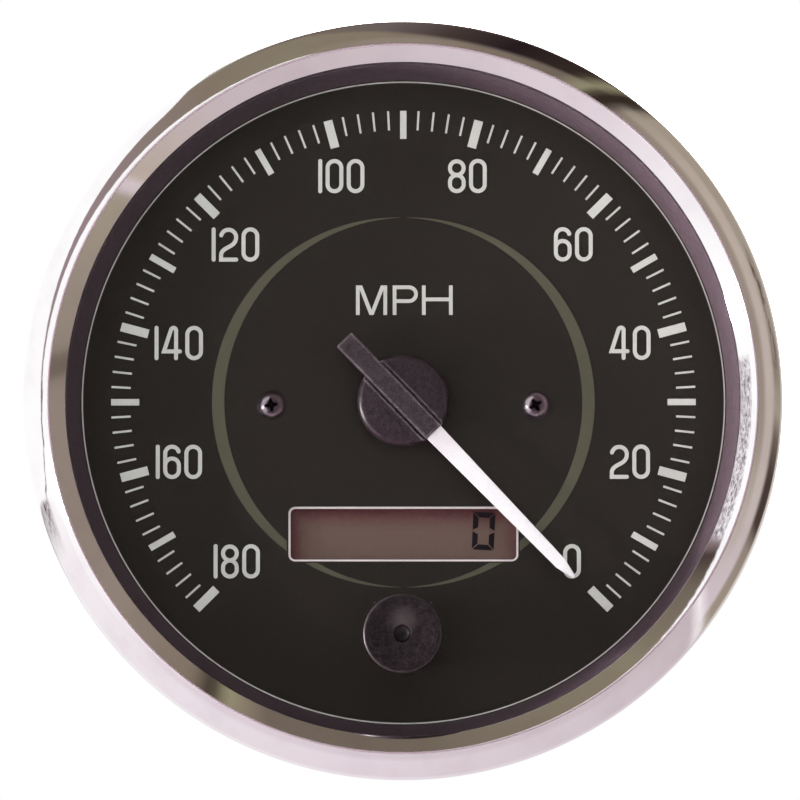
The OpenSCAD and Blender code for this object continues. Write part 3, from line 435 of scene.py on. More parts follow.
class Field:
    """What a shader node puts out. A formula with it adds the nodes that work it out."""

    def __init__(self, socket):
        self.socket, self.tree = socket, socket.id_data

    def made(self, kind, inputs, output=0, **values):
        return Field(add(self.tree, kind, inputs, **values).outputs[output])

    __add__ = __radd__ = formula("ADD")
    __sub__, __rsub__ = formula("SUBTRACT"), formula("SUBTRACT", swapped=True)
    __mul__ = __rmul__ = formula("MULTIPLY")
    __truediv__, __pow__, __abs__ = formula("DIVIDE"), formula("POWER"), formula("ABSOLUTE")
    __lt__, __gt__ = formula("LESS_THAN"), formula("GREATER_THAN")
    highest, root, arctan2 = formula("MAXIMUM"), formula("SQRT"), formula("ARCTAN2")

    def __neg__(self):
        return self * -1.0

    def linear(self, low, high, to_low, to_high, kind="LINEAR"):
        """Moves one range of values onto another and stops at its ends."""
        inputs = {"Value": self, "From Min": low, "From Max": high, "To Min": to_low, "To Max": to_high}
        return self.made("ShaderNodeMapRange", inputs, interpolation_type=kind)

    def ranged(self, low, high, to_low=0.0, to_high=1.0):
        """The same with soft ends."""
        return self.linear(low, high, to_low, to_high, "SMOOTHSTEP")

    def within(self, low, high, soft):
        """A mask where a value lies between two limits."""
        return self.ranged(low - soft, low + soft) * self.ranged(high + soft, high - soft)

    def measured(self, operation, *vectors):
        """A number from vectors, such as a length."""
        return self.made("ShaderNodeVectorMath", dict(enumerate((self, *vectors))), "Value", operation=operation)

    def axes(self):
        """The three coordinates of a place."""
        parts = add(self.tree, "ShaderNodeSeparateXYZ", {0: self})
        return [Field(socket) for socket in parts.outputs]


def put(socket, value):
    """Links a field or a socket to a socket, or sets it. Colours have three numbers."""
    if isinstance(value, Field):
        value = value.socket
    if isinstance(value, bpy.types.NodeSocket):
        socket.id_data.links.new(value, socket)
    elif socket.type == "RGBA":
        socket.default_value = (*value, 1)
    else:
        socket.default_value = value


def label(key):
    """A socket's name from the name of an argument."""
    return key.replace("_", " ").title().replace("Ior", "IOR")


def add(tree, kind, inputs=None, **values):
    """New node with its settings, and its inputs set or linked."""
    node = tree.nodes.new(kind)
    for key, value in values.items():
        setattr(node, key, value)
    for key, value in (inputs or {}).items():
        put(node.inputs[key], value)
    return node


def noise(place, scale, detail=2.0, roughness=0.5):
    return place.made("ShaderNodeTexNoise", {"Vector": place, "Scale": scale, "Detail": detail,
                                             "Roughness": roughness}, "Fac")


def mixed(fac, a, b):
    """Colour a, or b where fac is 1."""
    return fac.made("ShaderNodeMix", {0: fac, 6: a, 7: b}, 2, data_type="RGBA")


def distance(x, y):
    return (x * x + y * y).root()


def object_place(tree):
    return Field(add(tree, "ShaderNodeTexCoord").outputs["Object"])


def surface_grain(place, given):
    """Fine mottling of moulded and painted surfaces."""
    coarse = noise(place, given["Scale"] * 0.22, 2)
    fine = noise(place, given["Scale"], 3, 0.65)
    both = coarse * 0.25 + fine * 0.75
    mask = both.ranged(0.42, 0.62) * given["Amount"]
    return {"Colour": mixed(mask, given["Colour"], given["Fleck"]),
            "Roughness": given["Roughness"] + (both - 0.5) * given["Variation"], "Height": fine}


def spun_metal(place, given):
    """Faint circular polishing marks, with slow waves, of turned and plated metal."""
    x, y, z = place.axes()
    section = place.made("ShaderNodeCombineXYZ", {0: distance(x, z), 1: y})
    lines = noise(section, given["Line Scale"], 2, 0.6)
    mask = noise(place, 120.0, 3, 0.6).ranged(0.42, 0.7) * given["Haze Amount"]
    waves = noise(place, 55.0, 1) * given["Wave"]
    return {"Colour": mixed(mask, given["Colour"], given["Haze"]),
            "Roughness": given["Roughness"] + (lines - 0.5 + mask) * given["Variation"],
            "Height": lines + waves * 14.0}


def worn_and_lit_edges(place, given):
    """Lighter colour along edges: wear, and painted highlight where edges catch the light."""
    rounded = place.made("ShaderNodeBevel", {"Radius": given["Width"]}, samples=4)
    turn = rounded.measured("DOT_PRODUCT", place.made("ShaderNodeNewGeometry", {}, "Normal"))
    patchy = noise(place, 1400.0, 3, 0.6).ranged(0.25, 0.6)
    mask = turn.ranged(0.995, 0.93) * patchy * given["Amount"]
    return {"Colour": mixed(mask, given["Colour"], given["Rubbed"]), "Mask": mask}


# What works out each group's outputs, its inputs with their defaults, and its outputs with their kinds
shared_groups = {
    "surface grain": (
        surface_grain,
        {"Colour": (0.1, 0.1, 0.1), "Fleck": (0.2, 0.2, 0.2), "Scale": 3000.0, "Amount": 0.5, "Roughness": 0.5,
         "Variation": 0.1},
        {"Colour": "Color", "Roughness": "Float", "Height": "Float"}),
    "spun metal": (
        spun_metal,
        {"Colour": (0.8, 0.8, 0.8), "Haze": (0.6, 0.6, 0.6), "Line Scale": 9000.0, "Haze Amount": 0.1,
         "Roughness": 0.1, "Variation": 0.1, "Wave": 0.5},
        {"Colour": "Color", "Roughness": "Float", "Height": "Float"}),
    "rubbed edges": (
        worn_and_lit_edges,
        {"Colour": (0.1, 0.1, 0.1), "Rubbed": (0.3, 0.3, 0.3), "Amount": 0.5, "Width": 0.0002},
        {"Colour": "Color", "Mask": "Float"}),
}


def shared_group(name):
    """A shader group with named inputs and outputs, built the first time that it is asked for."""
    if name not in bpy.data.node_groups:
        work, inputs, outputs = shared_groups[name]
        group = bpy.data.node_groups.new(name, "ShaderNodeTree")
        for title, default in inputs.items():
            coloured = isinstance(default, tuple)
            socket = group.interface.new_socket(title, in_out="INPUT",
                                                socket_type="NodeSocketColor" if coloured else "NodeSocketFloat")
            socket.default_value = (*default, 1) if coloured else default
        for title, kind in outputs.items():
            group.interface.new_socket(title, in_out="OUTPUT", socket_type="NodeSocket" + kind)
        start, end = group.nodes.new("NodeGroupInput"), group.nodes.new("NodeGroupOutput")
        given = {title: Field(start.outputs[title]) for title in inputs}
        for title, field in work(object_place(group), given).items():
            put(end.inputs[title], field)
    return bpy.data.node_groups[name]


def placed(tree, name, **inputs):
    """Puts a shared group into a material with its own values, and gives what the group puts out."""
    node = add(tree, "ShaderNodeGroup", node_tree=shared_group(name))
    for key, value in inputs.items():
        put(node.inputs[label(key)], value)
    return {socket.name: Field(socket) for socket in node.outputs}


# Finishes

def surface(name, **sockets):
    """Material with one Principled shader whose plain sockets are set."""
    material = bpy.data.materials.new(name)
    material.use_nodes = True
    tree = material.node_tree
    tree.nodes.clear()
    shader = add(tree, "ShaderNodeBsdfPrincipled", {label(key): value for key, value in sockets.items()})
    output = add(tree, "ShaderNodeOutputMaterial", {0: shader.outputs[0]})
    finishes[name] = material
    return tree, shader, output


def feed(tree, shader, group, bump):
    """Links a group's colour, roughness and height to a shader."""
    height = add(tree, "ShaderNodeBump", {"Height": group["Height"], "Strength": bump, "Distance": 0.00002})
    put(shader.inputs["Base Color"], group["Colour"])
    put(shader.inputs["Roughness"], group["Roughness"])
    put(shader.inputs["Normal"], height.outputs[0])


def moulded(name, colour, fleck, scale=4000.0, amount=0.5, roughness=0.5, bump=0.3, specular=0.5,
            variation=0.15, rubbed=None):
    """Moulded, painted or printed surface with a fine grain. The lighter edges, which stand for wear and painted
    highlight, have a colour, an amount and a width.
    """
    tree, shader, _ = surface(name, specular_ior_level=specular)
    grain = placed(tree, "surface grain", colour=colour, fleck=fleck, scale=scale, amount=amount,
                   roughness=roughness, variation=variation)
    if rubbed:
        light, share, width = rubbed
        edges = placed(tree, "rubbed edges", colour=grain["Colour"], rubbed=light, amount=share, width=width)
        grain["Colour"] = edges["Colour"]
    feed(tree, shader, grain, bump)
    return shader, grain["Colour"]


def plated(name, colour, haze, line_scale=9000.0, haze_amount=0.1, roughness=0.2, bump=0.1, wave=0.0,
           variation=0.15):
    """Plated or turned metal with circular polishing marks."""
    tree, shader, _ = surface(name, metallic=1.0)
    spun = placed(tree, "spun metal", colour=colour, haze=haze, line_scale=line_scale, haze_amount=haze_amount,
                  roughness=roughness, variation=variation, wave=wave)
    feed(tree, shader, spun, bump)
    return shader, spun["Colour"]


def build_lens_finish():
    """Clear lens that lets shadow and bounced light through."""
    tree, shader, output = surface("lens_glass", base_color=(1, 1, 1), roughness=0.0, transmission_weight=1.0,
                                   ior=1.49)
    put(shader.inputs["Roughness"], noise(object_place(tree), 60.0, 2).ranged(0.45, 0.8, 0.0, 0.003))
    rays = add(tree, "ShaderNodeLightPath").outputs
    through = Field(rays["Is Shadow Ray"]).highest(rays["Is Diffuse Ray"])
    clear = add(tree, "ShaderNodeBsdfTransparent", {"Color": (0.96, 0.97, 0.97)})
    put(output.inputs[0], through.made("ShaderNodeMixShader", {0: through, 1: shader.outputs[0],
                                                               2: clear.outputs[0]}))


def build_bulb_finish():
    tree, shader, _ = surface("bulb_glass", base_color=(1, 0.97, 0.9), roughness=0.02, transmission_weight=1.0,
                              ior=1.5)
    put(shader.inputs["Roughness"], noise(object_place(tree), 400.0).ranged(0.4, 0.8, 0.02, 0.12))


def build_chrome_finish(s):
    """Bezel chrome with a painted reflection: a thin mauve, less metallic line along its crest stands for what the
    rounded crest mirrors.
    """
    half_line, soft, strength = 0.00013, 0.00004, 0.9
    shader, colour = plated("bezel_chrome", srgb(254, 252, 253), srgb(232, 226, 229), 5200.0, 0.3, 0.04,
                            bump=0.04, wave=0.5, variation=0.05)
    x, _, z = object_place(colour.tree).axes()
    # Painted reflection: mauve colour and lower metallic in a thin line along the crest
    line = distance(x, z).within(s.crest_radius - half_line, s.crest_radius + half_line, soft)
    crest_reflection = line * strength
    put(shader.inputs["Base Color"], mixed(crest_reflection, colour, srgb(150, 124, 136)))
    put(shader.inputs["Metallic"], 1.0 - crest_reflection)


def build_screw_finish():
    """Bright screw steel with painted shade: dark colour where ambient occlusion is low, in the recess and down at
    the dial.
    """
    shader, colour = plated("screw_steel", srgb(196, 182, 191), srgb(120, 106, 116), 7000.0, 0.4, 0.16, bump=0.05)
    open_sky = colour.made("ShaderNodeAmbientOcclusion", {"Distance": 0.0012}, "AO", samples=8)
    # Painted shade in the recess and next to the dial, from ambient occlusion
    put(shader.inputs["Base Color"], mixed(open_sky.ranged(0.92, 0.5), colour, srgb(22, 12, 19)))


def build_display_finish(s):
    """Reflective cell: brown-grey, with painted shadow of the window's upper, left and right edges as a redder,
    darker colour.
    """
    tree, shader, _ = surface("display_glass", specular_ior_level=0.15)
    low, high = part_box("display_cell")
    middle_x, middle_z = (low.x + high.x) / 2, (low.z + high.z) / 2
    x, _, z = object_place(tree).axes()
    # Painted shadow cast by the window's upper, left and right edges
    upper = z.ranged(middle_z + 0.0002, middle_z + 0.0042)
    left = x.ranged(middle_x - 0.0130, middle_x - 0.0172)
    right = x.ranged(middle_x + 0.0135, middle_x + 0.017) * 0.5
    cell = mixed(upper.highest(left.highest(right)), s.cell_colour, s.cell_shadow_colour)
    grain = placed(tree, "surface grain", colour=cell, fleck=srgb(118, 98, 86), scale=5200.0, amount=0.16,
                   roughness=0.32, variation=0.08)
    feed(tree, shader, grain, 0.04)


def build_ink_finish(s):
    """Printing ink: pale numerals and marks, olive crescents, and a thin greyer ring at the dial's edge."""
    crescent_radius, crescent_reach = 0.0268, 0.0016
    rim_radius, ring_radius, half_ring = 0.0450, 0.0468, 0.0001
    shader, colour = moulded("dial_ink", s.ink_colour, srgb(184, 182, 177), 6000.0, 0.35, 0.6, bump=0.15,
                             specular=0.2)
    x, _, z = object_place(colour.tree).axes()
    across = distance(x, z)
    rim = across > rim_radius
    beside_ring = abs(across - ring_radius) > half_ring
    colour = mixed(abs(across - crescent_radius) < crescent_reach, colour, s.crescent_colour)
    colour = mixed(rim, colour, s.ring_colour)
    put(shader.inputs["Base Color"], mixed(rim * beside_ring, colour, s.dial_colour))


def build_blade_finish():
    """White blade, a little greyer near the arm: painted shade of the arm."""
    shader, colour = moulded("pointer_white", srgb(240, 235, 237), srgb(216, 207, 213), 5200.0, 0.5, 0.45, bump=0.1)
    # Painted shade of the arm on the blade's root
    arm_shade = object_place(colour.tree).measured("LENGTH").ranged(0.0125, 0.0075, 0.0, 0.5)
    put(shader.inputs["Base Color"], mixed(arm_shade, colour, srgb(204, 186, 194)))


def build_button_finish(s):
    """Dark cap with painted light: a lighter rim and a lighter patch above the dimple are painted highlights, and the
    dark dimple is painted shade.
    """
    shader, colour = moulded("button_dark", s.moulding_colour, srgb(62, 46, 53), 5200.0, 0.45, 0.4, specular=0.4)
    low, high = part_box("button_cap")
    r = (high.x - low.x) / 2
    place = object_place(colour.tree)
    x, _, z = place.axes()
    flat = place.made("ShaderNodeCombineXYZ", {0: x - (low.x + high.x) / 2, 1: z - (low.z + high.z) / 2})
    across = flat.measured("LENGTH")
    patchy = noise(place, 1800.0, 3, 0.6).ranged(0.3, 0.6, 0.35, 1.0)
    # Painted highlight along the cap's rim
    rim = across.within(r * 0.945, r * 1.1, r * 0.02) * patchy * 0.14
    # Painted highlight: a lighter patch above the dimple
    painted_glow = flat.measured("DISTANCE", (0, r * 0.34, 0)).ranged(r * 0.5, 0.0) * 0.38
    # Painted shade inside the dimple
    pit = across.ranged(s.dimple_radius * 1.02, s.dimple_radius * 0.85, 0.0, 0.45)
    colour = mixed(painted_glow, colour, srgb(92, 80, 82))
    colour = mixed(rim, colour, srgb(104, 92, 98))
    put(shader.inputs["Base Color"], mixed(pit, colour, srgb(16, 10, 14)))


class SPEEDO_OT_finishes(Operator):
    """Builds every finish: chrome, glass, paint, ink, mouldings and metals"""
    bl_idname = "speedo.finishes"
    bl_label = "Finishes"

    def execute(self, context):
        s = settings()
        build_chrome_finish(s)
        build_screw_finish()
        plated("zinc_steel", srgb(205, 204, 200), srgb(150, 148, 150), 7000.0, 0.35, 0.22)
        plated("spring_steel", srgb(190, 190, 190), srgb(140, 140, 142), 9000.0, 0.3, 0.25)
        plated("shield_steel", srgb(176, 176, 172), srgb(132, 132, 130), 5000.0, 0.4, 0.36, bump=0.15)
        plated("tinned_brass", srgb(214, 200, 160), srgb(170, 158, 128), 6000.0, 0.4, 0.26)
        plated("bearing_bronze", srgb(190, 150, 96), srgb(140, 106, 66), 9000.0, 0.3, 0.3)
        plated("winding_copper", srgb(196, 118, 74), srgb(150, 78, 44), 14000.0, 0.4, 0.3, bump=0.6)
        moulded("dial_paint", s.dial_colour, srgb(50, 46, 41), 6500.0, 0.3, 0.62, bump=0.04, specular=0.15,
                variation=0.1)
        moulded("shroud_black", s.shroud_colour, srgb(124, 102, 116), 5000.0, 0.5, 0.6, bump=0.5, specular=0.3)
        # Lighter edges of the hub: painted highlight
        moulded("pointer_dark", s.moulding_colour, srgb(90, 66, 79), 6400.0, 0.6, 0.3, bump=1.0, specular=0.7,
                rubbed=(srgb(176, 156, 168), 0.7, 0.00035))
        # Lighter edges of the arm: painted highlight
        moulded("arm_dark", s.arm_colour, srgb(112, 88, 101), 6400.0, 0.5, 0.34, bump=1.0, specular=0.7,
                rubbed=(srgb(206, 190, 200), 0.8, 0.00045))
        build_blade_finish()
        build_button_finish(s)
        moulded("white_plastic", srgb(252, 240, 240), srgb(236, 221, 222), 3000.0, 0.4)
        moulded("bobbin_plastic", srgb(216, 208, 190), srgb(196, 188, 168), 3000.0, 0.4, 0.45)
        moulded("lamp_plastic", srgb(206, 201, 190), srgb(184, 178, 166), 2600.0, 0.5, 0.48, bump=0.4,
                rubbed=(srgb(226, 222, 214), 0.4, 0.0002))
        moulded("chip_plastic", srgb(38, 38, 40), srgb(58, 57, 60), 3200.0, bump=0.5,
                rubbed=(srgb(96, 95, 98), 0.4, 0.0002))
        moulded("gasket_rubber", srgb(34, 33, 34), srgb(48, 47, 48), 2600.0, 0.5, 0.75, bump=0.6, specular=0.3)
        moulded("magnet_ferrite", srgb(68, 68, 72), srgb(92, 92, 96), 5000.0, 0.6, 0.55, bump=0.5)
        moulded("board_laminate", srgb(24, 84, 52), srgb(18, 66, 40), 1800.0, 0.6, 0.3, bump=0.2)
        moulded("capacitor_sleeve", srgb(26, 34, 78), srgb(34, 44, 96), 1500.0, 0.4, 0.3, bump=0.1)
        moulded("case_paint", srgb(40, 39, 40), srgb(54, 53, 54), 1500.0, 0.45, 0.36, bump=0.55, specular=0.45,
                rubbed=(srgb(128, 126, 124), 0.5, 0.0002))
        moulded("display_ink", srgb(24, 15, 22), srgb(36, 26, 33), 5200.0, 0.4, 0.4, specular=0.2)
        build_ink_finish(s)
        build_display_finish(s)
        build_lens_finish()
        build_bulb_finish()
        return {"FINISHED"}


# Stage

class SPEEDO_OT_stage(Operator):
    """Sets the camera, the studio light and the floor"""
    bl_idname = "speedo.stage"
    bl_label = "Camera, light and floor"

    def execute(self, context):
        s = settings()
        context.scene.view_settings.view_transform = "Standard"
        self.place_camera(context.scene, s)
        self.build_world(context.scene, s)
        self.place_lamps(s)
        self.build_floor(s)
        return {"FINISHED"}

    def place_camera(self, scene, s):
        data = bpy.data.cameras.new("camera")
        data.lens = s.camera_lens
        data.sensor_width = 36
        data.clip_start, data.clip_end = 0.01, 20
        camera = linked("camera", data)
        aim = Vector((-0.00041, -0.005, -0.00012))  # a hair off the gauge's middle
        side, rise = s.camera_side, s.camera_rise
        toward = Vector((math.sin(side) * math.cos(rise), -math.cos(side) * math.cos(rise), math.sin(rise)))
        camera.location = aim + toward * s.camera_distance
        camera.rotation_euler = (-toward).to_track_quat("-Z", "Y").to_euler()
        scene.camera = camera

    def build_world(self, scene, s):
        """Camera rays see white, metal and glass see a painted studio, and bounced light is an even fill that is
        brighter from the front."""
        world = bpy.data.worlds.new("studio")
        world.use_nodes = True
        scene.world = world
        tree = world.node_tree
        tree.nodes.clear()
        place = Field(add(tree, "ShaderNodeTexCoord").outputs["Generated"])
        toward = -place.axes()[1]
        front = toward.ranged(0.72, 0.94, s.fill_level, s.front_level)
        fill = front.made("ShaderNodeCombineXYZ", {0: front, 1: front, 2: front})
        rays = add(tree, "ShaderNodeLightPath").outputs
        seen = mixed(Field(rays["Is Diffuse Ray"]), self.paint_studio(place), fill)
        seen = mixed(Field(rays["Is Camera Ray"]), seen, white)
        background = add(tree, "ShaderNodeBackground", {0: seen, 1: 1.0})
        add(tree, "ShaderNodeOutputWorld", {0: background.outputs[0]})

    def paint_studio(self, place):
        """Studio round the chrome: white at the left, pale below, warm grey at the right, near black overhead and
        dim in front. rise says how far a direction leans to the driver: the bezel's outer face shows what is below
        0.1 and its inner band what is above. bent and crumpled are rise with wavy and with crumpled edges. around
        and left are angles about the gauge's axis, in radians, from the right and from the left."""
        x, y, z = place.axes()
        toward = -y
        rise = toward + z * 0.05
        around, left = z.arctan2(x), z.arctan2(-x)
        wander = noise(place, 3.5, 3, 0.6) - 0.5
        fine = noise(place, 48.0, 4, 0.75)
        bent = rise + wander * 0.08
        crumpled = rise + (fine - 0.5) * 0.05
        turn = around / math.tau + (wander * 0.004 - rise * 0.018) + 0.5

        # Walls that the outer face shows from its crest to its side, the one behind the gauge, and the inner band's
        sky = mixed(bent.ranged(0.0, -0.14), ramp(turn, studio_front), ramp(turn, studio_middle))
        overhead = 1.33
        hang = 0.22 - abs(around - overhead) ** 2.0 * 1.75
        hang = hang.highest(around.linear(overhead, 1.4, 0.0, -0.2))
        sky = mixed((bent - hang).ranged(-0.25, -0.38), sky, ramp(turn, studio_back))
        streak = rise.within(-0.47, -0.35, 0.03) * noise(place, 16.0, 4, 0.7).ranged(0.46, 0.6)
        sky = mixed(around.within(0.14, 0.46, 0.08) * streak, sky, srgb(92, 79, 70))
        sky = mixed(bent.ranged(-0.53, -0.78), sky, ramp(turn, studio_rim))
        sky = mixed(toward.ranged(-0.82, -0.97), sky, srgb(228, 222, 224))
        sky = mixed(rise.ranged(0.1, 0.13), sky, ramp(turn, studio_inner))

        # Dim room round the camera
        sky = mixed(toward.ranged(0.38, 0.6), sky, srgb(92, 76, 84))
        sky = mixed(toward.ranged(0.74, 0.86), sky, srgb(44, 36, 38))

        # Speckled cloth at the left, then the white screens in front of it
        speckle = noise(place, 85.0, 3, 0.8).ranged(0.4, 0.58)
        cloth = left.within(-0.09, 0.466, 0.02) * rise.within(0.12, 0.27, 0.008)
        sky = mixed(cloth, sky, mixed(speckle, srgb(84, 66, 80), srgb(255, 250, 254)))
        sky = mixed(self.white_screens(left, rise, crumpled, toward), sky, white)

        # Creased shadow and smudge where the screens meet
        hook = left.linear(-0.07, -0.21, -0.06, -0.27) + wander * 0.2
        hook = left.within(-0.22, 0.1, 0.008) * abs(crumpled - hook).ranged(0.018, 0.006)
        sky = mixed(hook, sky, srgb(104, 88, 98))
        smudge = left.ranged(-0.4, -0.235) * left.ranged(-0.212, -0.228) * rise.ranged(-0.22, -0.32)
        return mixed(smudge * fine.ranged(0.4, 0.56, 1.0, 0.3), sky, srgb(84, 62, 76))

    def white_screens(self, left, rise, crumpled, toward):
        """Mask of the white screens at the left, whose edges are crumpled."""
        reach, nose = left.highest(0.0), (left - 0.88).highest(0.0) ** 2.0
        tongue = crumpled + (reach ** 1.5 * 0.31 + nose * 12.0) + 0.075
        tongue = left.within(-0.225, 1.1, 0.008) * tongue.ranged(0.008, -0.008)
        strip = (crumpled - left.linear(0.5, 1.32, -0.055, 0.072)).ranged(-0.008, 0.008)
        strip = strip * rise.ranged(0.125, 0.11) * (left.ranged(-0.9, -0.1) * left.ranged(1.36, 1.28))
        fade, room = left.ranged(-1.0, -0.25), toward.ranged(0.5, 0.45)
        shelf = (crumpled - left.linear(0.45, 0.9, 0.272, 0.33)).ranged(-0.006, 0.006)
        shelf = shelf * left.ranged(0.98, 0.92) * fade * room
        corner = left.ranged(-0.05, -0.075) * rise.ranged(0.125, 0.14) * fade * room
        screen = left.within(-0.9, 1.3, 0.1) * toward.within(0.38, 0.75, 0.03)
        crest = left.within(-0.12, 0.47, 0.02) * crumpled.within(0.265, 0.45, 0.008)
        return tongue.highest(strip).highest(shelf).highest(corner).highest(screen).highest(crest)

    def place_lamps(self, s):
        """Area lamps that all shine at the gauge: place, width and height, watts, colour."""
        lamps = {
            "key_lamp": ((-0.44, -0.06, -0.093), (0.1, 0.027), s.key_power, srgb(255, 250, 252)),
            "side_lamp": ((-0.39, -0.21, -0.083), (0.014, 0.075), s.side_power, srgb(255, 246, 250)),
            "back_lamp": ((0.18, 1.15, 0.3), (0.6, 0.6), s.back_power, srgb(255, 252, 248)),
        }
        for name, (place, (wide, tall), power, colour) in lamps.items():
            data = bpy.data.lights.new(name, "AREA")
            data.shape = "RECTANGLE"
            data.size, data.size_y, data.energy, data.color = wide, tall, power, colour
            lamp = linked(name, data)
            lamp.location = place
            lamp.visible_camera = False
            lamp.rotation_euler = (-Vector(place)).to_track_quat("-Z", "Y").to_euler()

    def build_floor(self, s):
        """Pale floor below the gauge, which fades into the white background at its edge and which metal can't see."""
        bm = bmesh.new()
        bmesh.ops.create_circle(bm, cap_ends=True, radius=mm(s.floor_radius), segments=96)
        moved(turned(bm, -90, "X"), y=-mm(s.floor_drop)).transform(draw_to_world)
        mesh = bpy.data.meshes.new("floor")
        bm.to_mesh(mesh)
        tree, shader, output = surface("floor_paper", roughness=0.8, specular_ior_level=0.2)
        paper = placed(tree, "surface grain", colour=srgb(238, 238, 240), fleck=srgb(232, 232, 234), scale=600.0,
                       amount=0.4, roughness=0.8, variation=0.1)
        put(shader.inputs["Base Color"], paper["Colour"])
        x, y, _ = object_place(tree).axes()
        fade = distance(x, y).ranged(s.floor_radius * 0.25, s.floor_radius * 0.95, 0.3, 1.0)
        glow = add(tree, "ShaderNodeEmission", {0: white, 1: 1.0}).outputs[0]
        both = fade.made("ShaderNodeMixShader", {0: fade, 1: shader.outputs[0], 2: glow})
        mirrored = Field(add(tree, "ShaderNodeLightPath").outputs["Is Glossy Ray"])
        unseen = add(tree, "ShaderNodeBsdfTransparent").outputs[0]
        put(output.inputs[0], mirrored.made("ShaderNodeMixShader", {0: mirrored, 1: both, 2: unseen}))
        mesh.materials.append(finishes["floor_paper"])
        floor = linked("floor", mesh)


def ramp(fac, stops):
    """Colour ramp from stops of degrees round the view, from -180 at the left over -90 below, and studio tones."""
    node = add(fac.tree, "ShaderNodeValToRGB", {0: fac})
    elements = node.color_ramp.elements
    elements.remove(elements[-1])
    for degrees, tone in stops:
        stop = elements.new(degrees / 360 + 0.5) if degrees > -180 else elements[0]
        stop.color = (*srgb(*studio_tones[tone]), 1)
    return Field(node.outputs[0])


# Tones of the studio's screens, papers and walls

studio_tones = {
    "white": (255, 255, 255), "chalk": (245, 239, 242), "shell": (234, 225, 231), "rose": (225, 212, 219),
    "dove": (213, 200, 207), "ash": (205, 191, 197), "pearl": (198, 184, 189), "linen": (212, 204, 193),
    "sand": (190, 177, 170), "tan": (186, 172, 160), "wheat": (176, 168, 146), "flax": (165, 154, 141),
    "straw": (160, 149, 134), "biscuit": (152, 139, 127), "mauve": (149, 131, 134), "clay": (144, 131, 120),
    "olive": (148, 142, 115), "moss": (135, 126, 107), "bronze": (130, 118, 103), "umber": (112, 101, 90),
    "smoke": (105, 93, 92), "bark": (70, 58, 54), "pitch": (53, 43, 37), "soot": (38, 28, 31),
}

# The studio's layout in degrees, set one by one after the reflections in the photograph's bezel: as its inner band
# shows it, and then from the crest outwards on its outer face

pale_paper = [(-180, "white"), (-172, "white"), (-154, "chalk"), (-126, "shell"), (-90, "rose"), (-61, "dove")]
dark_post = [(57, "pitch"), (60, "pitch"), (62, "olive"), (66, "umber")]
far_wall = [(108, "moss"), (122, "bronze"), (148, "mauve"), (180, "mauve")]
studio_inner = [
    (-180, "mauve"), (-166, "chalk"), (-152, "shell"), (-126, "rose"), (-91, "ash"), (-61, "pearl"), (-39.5, "tan"),
    (-37.2, "rose"), (-35, "straw"), (-7.5, "clay"), (-5.2, "umber"), (-3, "umber"), (-1, "clay"), (36, "clay"),
    (53, "bronze"), (57, "pitch"), (60, "olive"), (64, "bronze"), (67, "umber"), (88, "umber"), (128, "moss"),
    (143, "umber"), (149, "bark"), (152, "mauve"), (180, "mauve"),
]
studio_front = [
    (-180, "white"), (-176, "white"), (-158, "chalk"), (-126, "rose"), (-90, "dove"), (-61, "ash"), (-35, "pearl"),
    (-32.5, "chalk"), (-30, "ash"), (-20, "sand"), (-8, "flax"), (2, "biscuit"), (38, "biscuit"), (54.5, "clay"),
    *dark_post, (80, "bronze"), (92, "clay"), *far_wall,
]
studio_middle = [
    *pale_paper, (-35, "pearl"), (-32.5, "chalk"), (-30, "ash"), (-8, "sand"), (2, "sand"), (38, "tan"),
    (54.5, "straw"), *dark_post, (78, "smoke"), (92, "bronze"), *far_wall,
]
studio_back = [
    *pale_paper, (-35.5, "pearl"), (-33, "chalk"), (-30.5, "straw"), (-18, "clay"), (-14, "bark"), (-6, "bark"),
    (0, "umber"), (4, "flax"), (12, "clay"), (24, "flax"), (40, "straw"), (54, "straw"), (56.5, "pitch"),
    (59.5, "pitch"), (61.5, "olive"), (65, "pitch"), (76, "soot"), (86, "bark"), (95, "smoke"), (124, "moss"),
]
studio_rim = [
    (-180, "white"), (-90, "shell"), (-40, "dove"), (-15, "linen"), (30, "linen"), (52, "wheat"), (62, "bark"),
    (110, "smoke"), (120, "bronze"), (132, "white"),
]


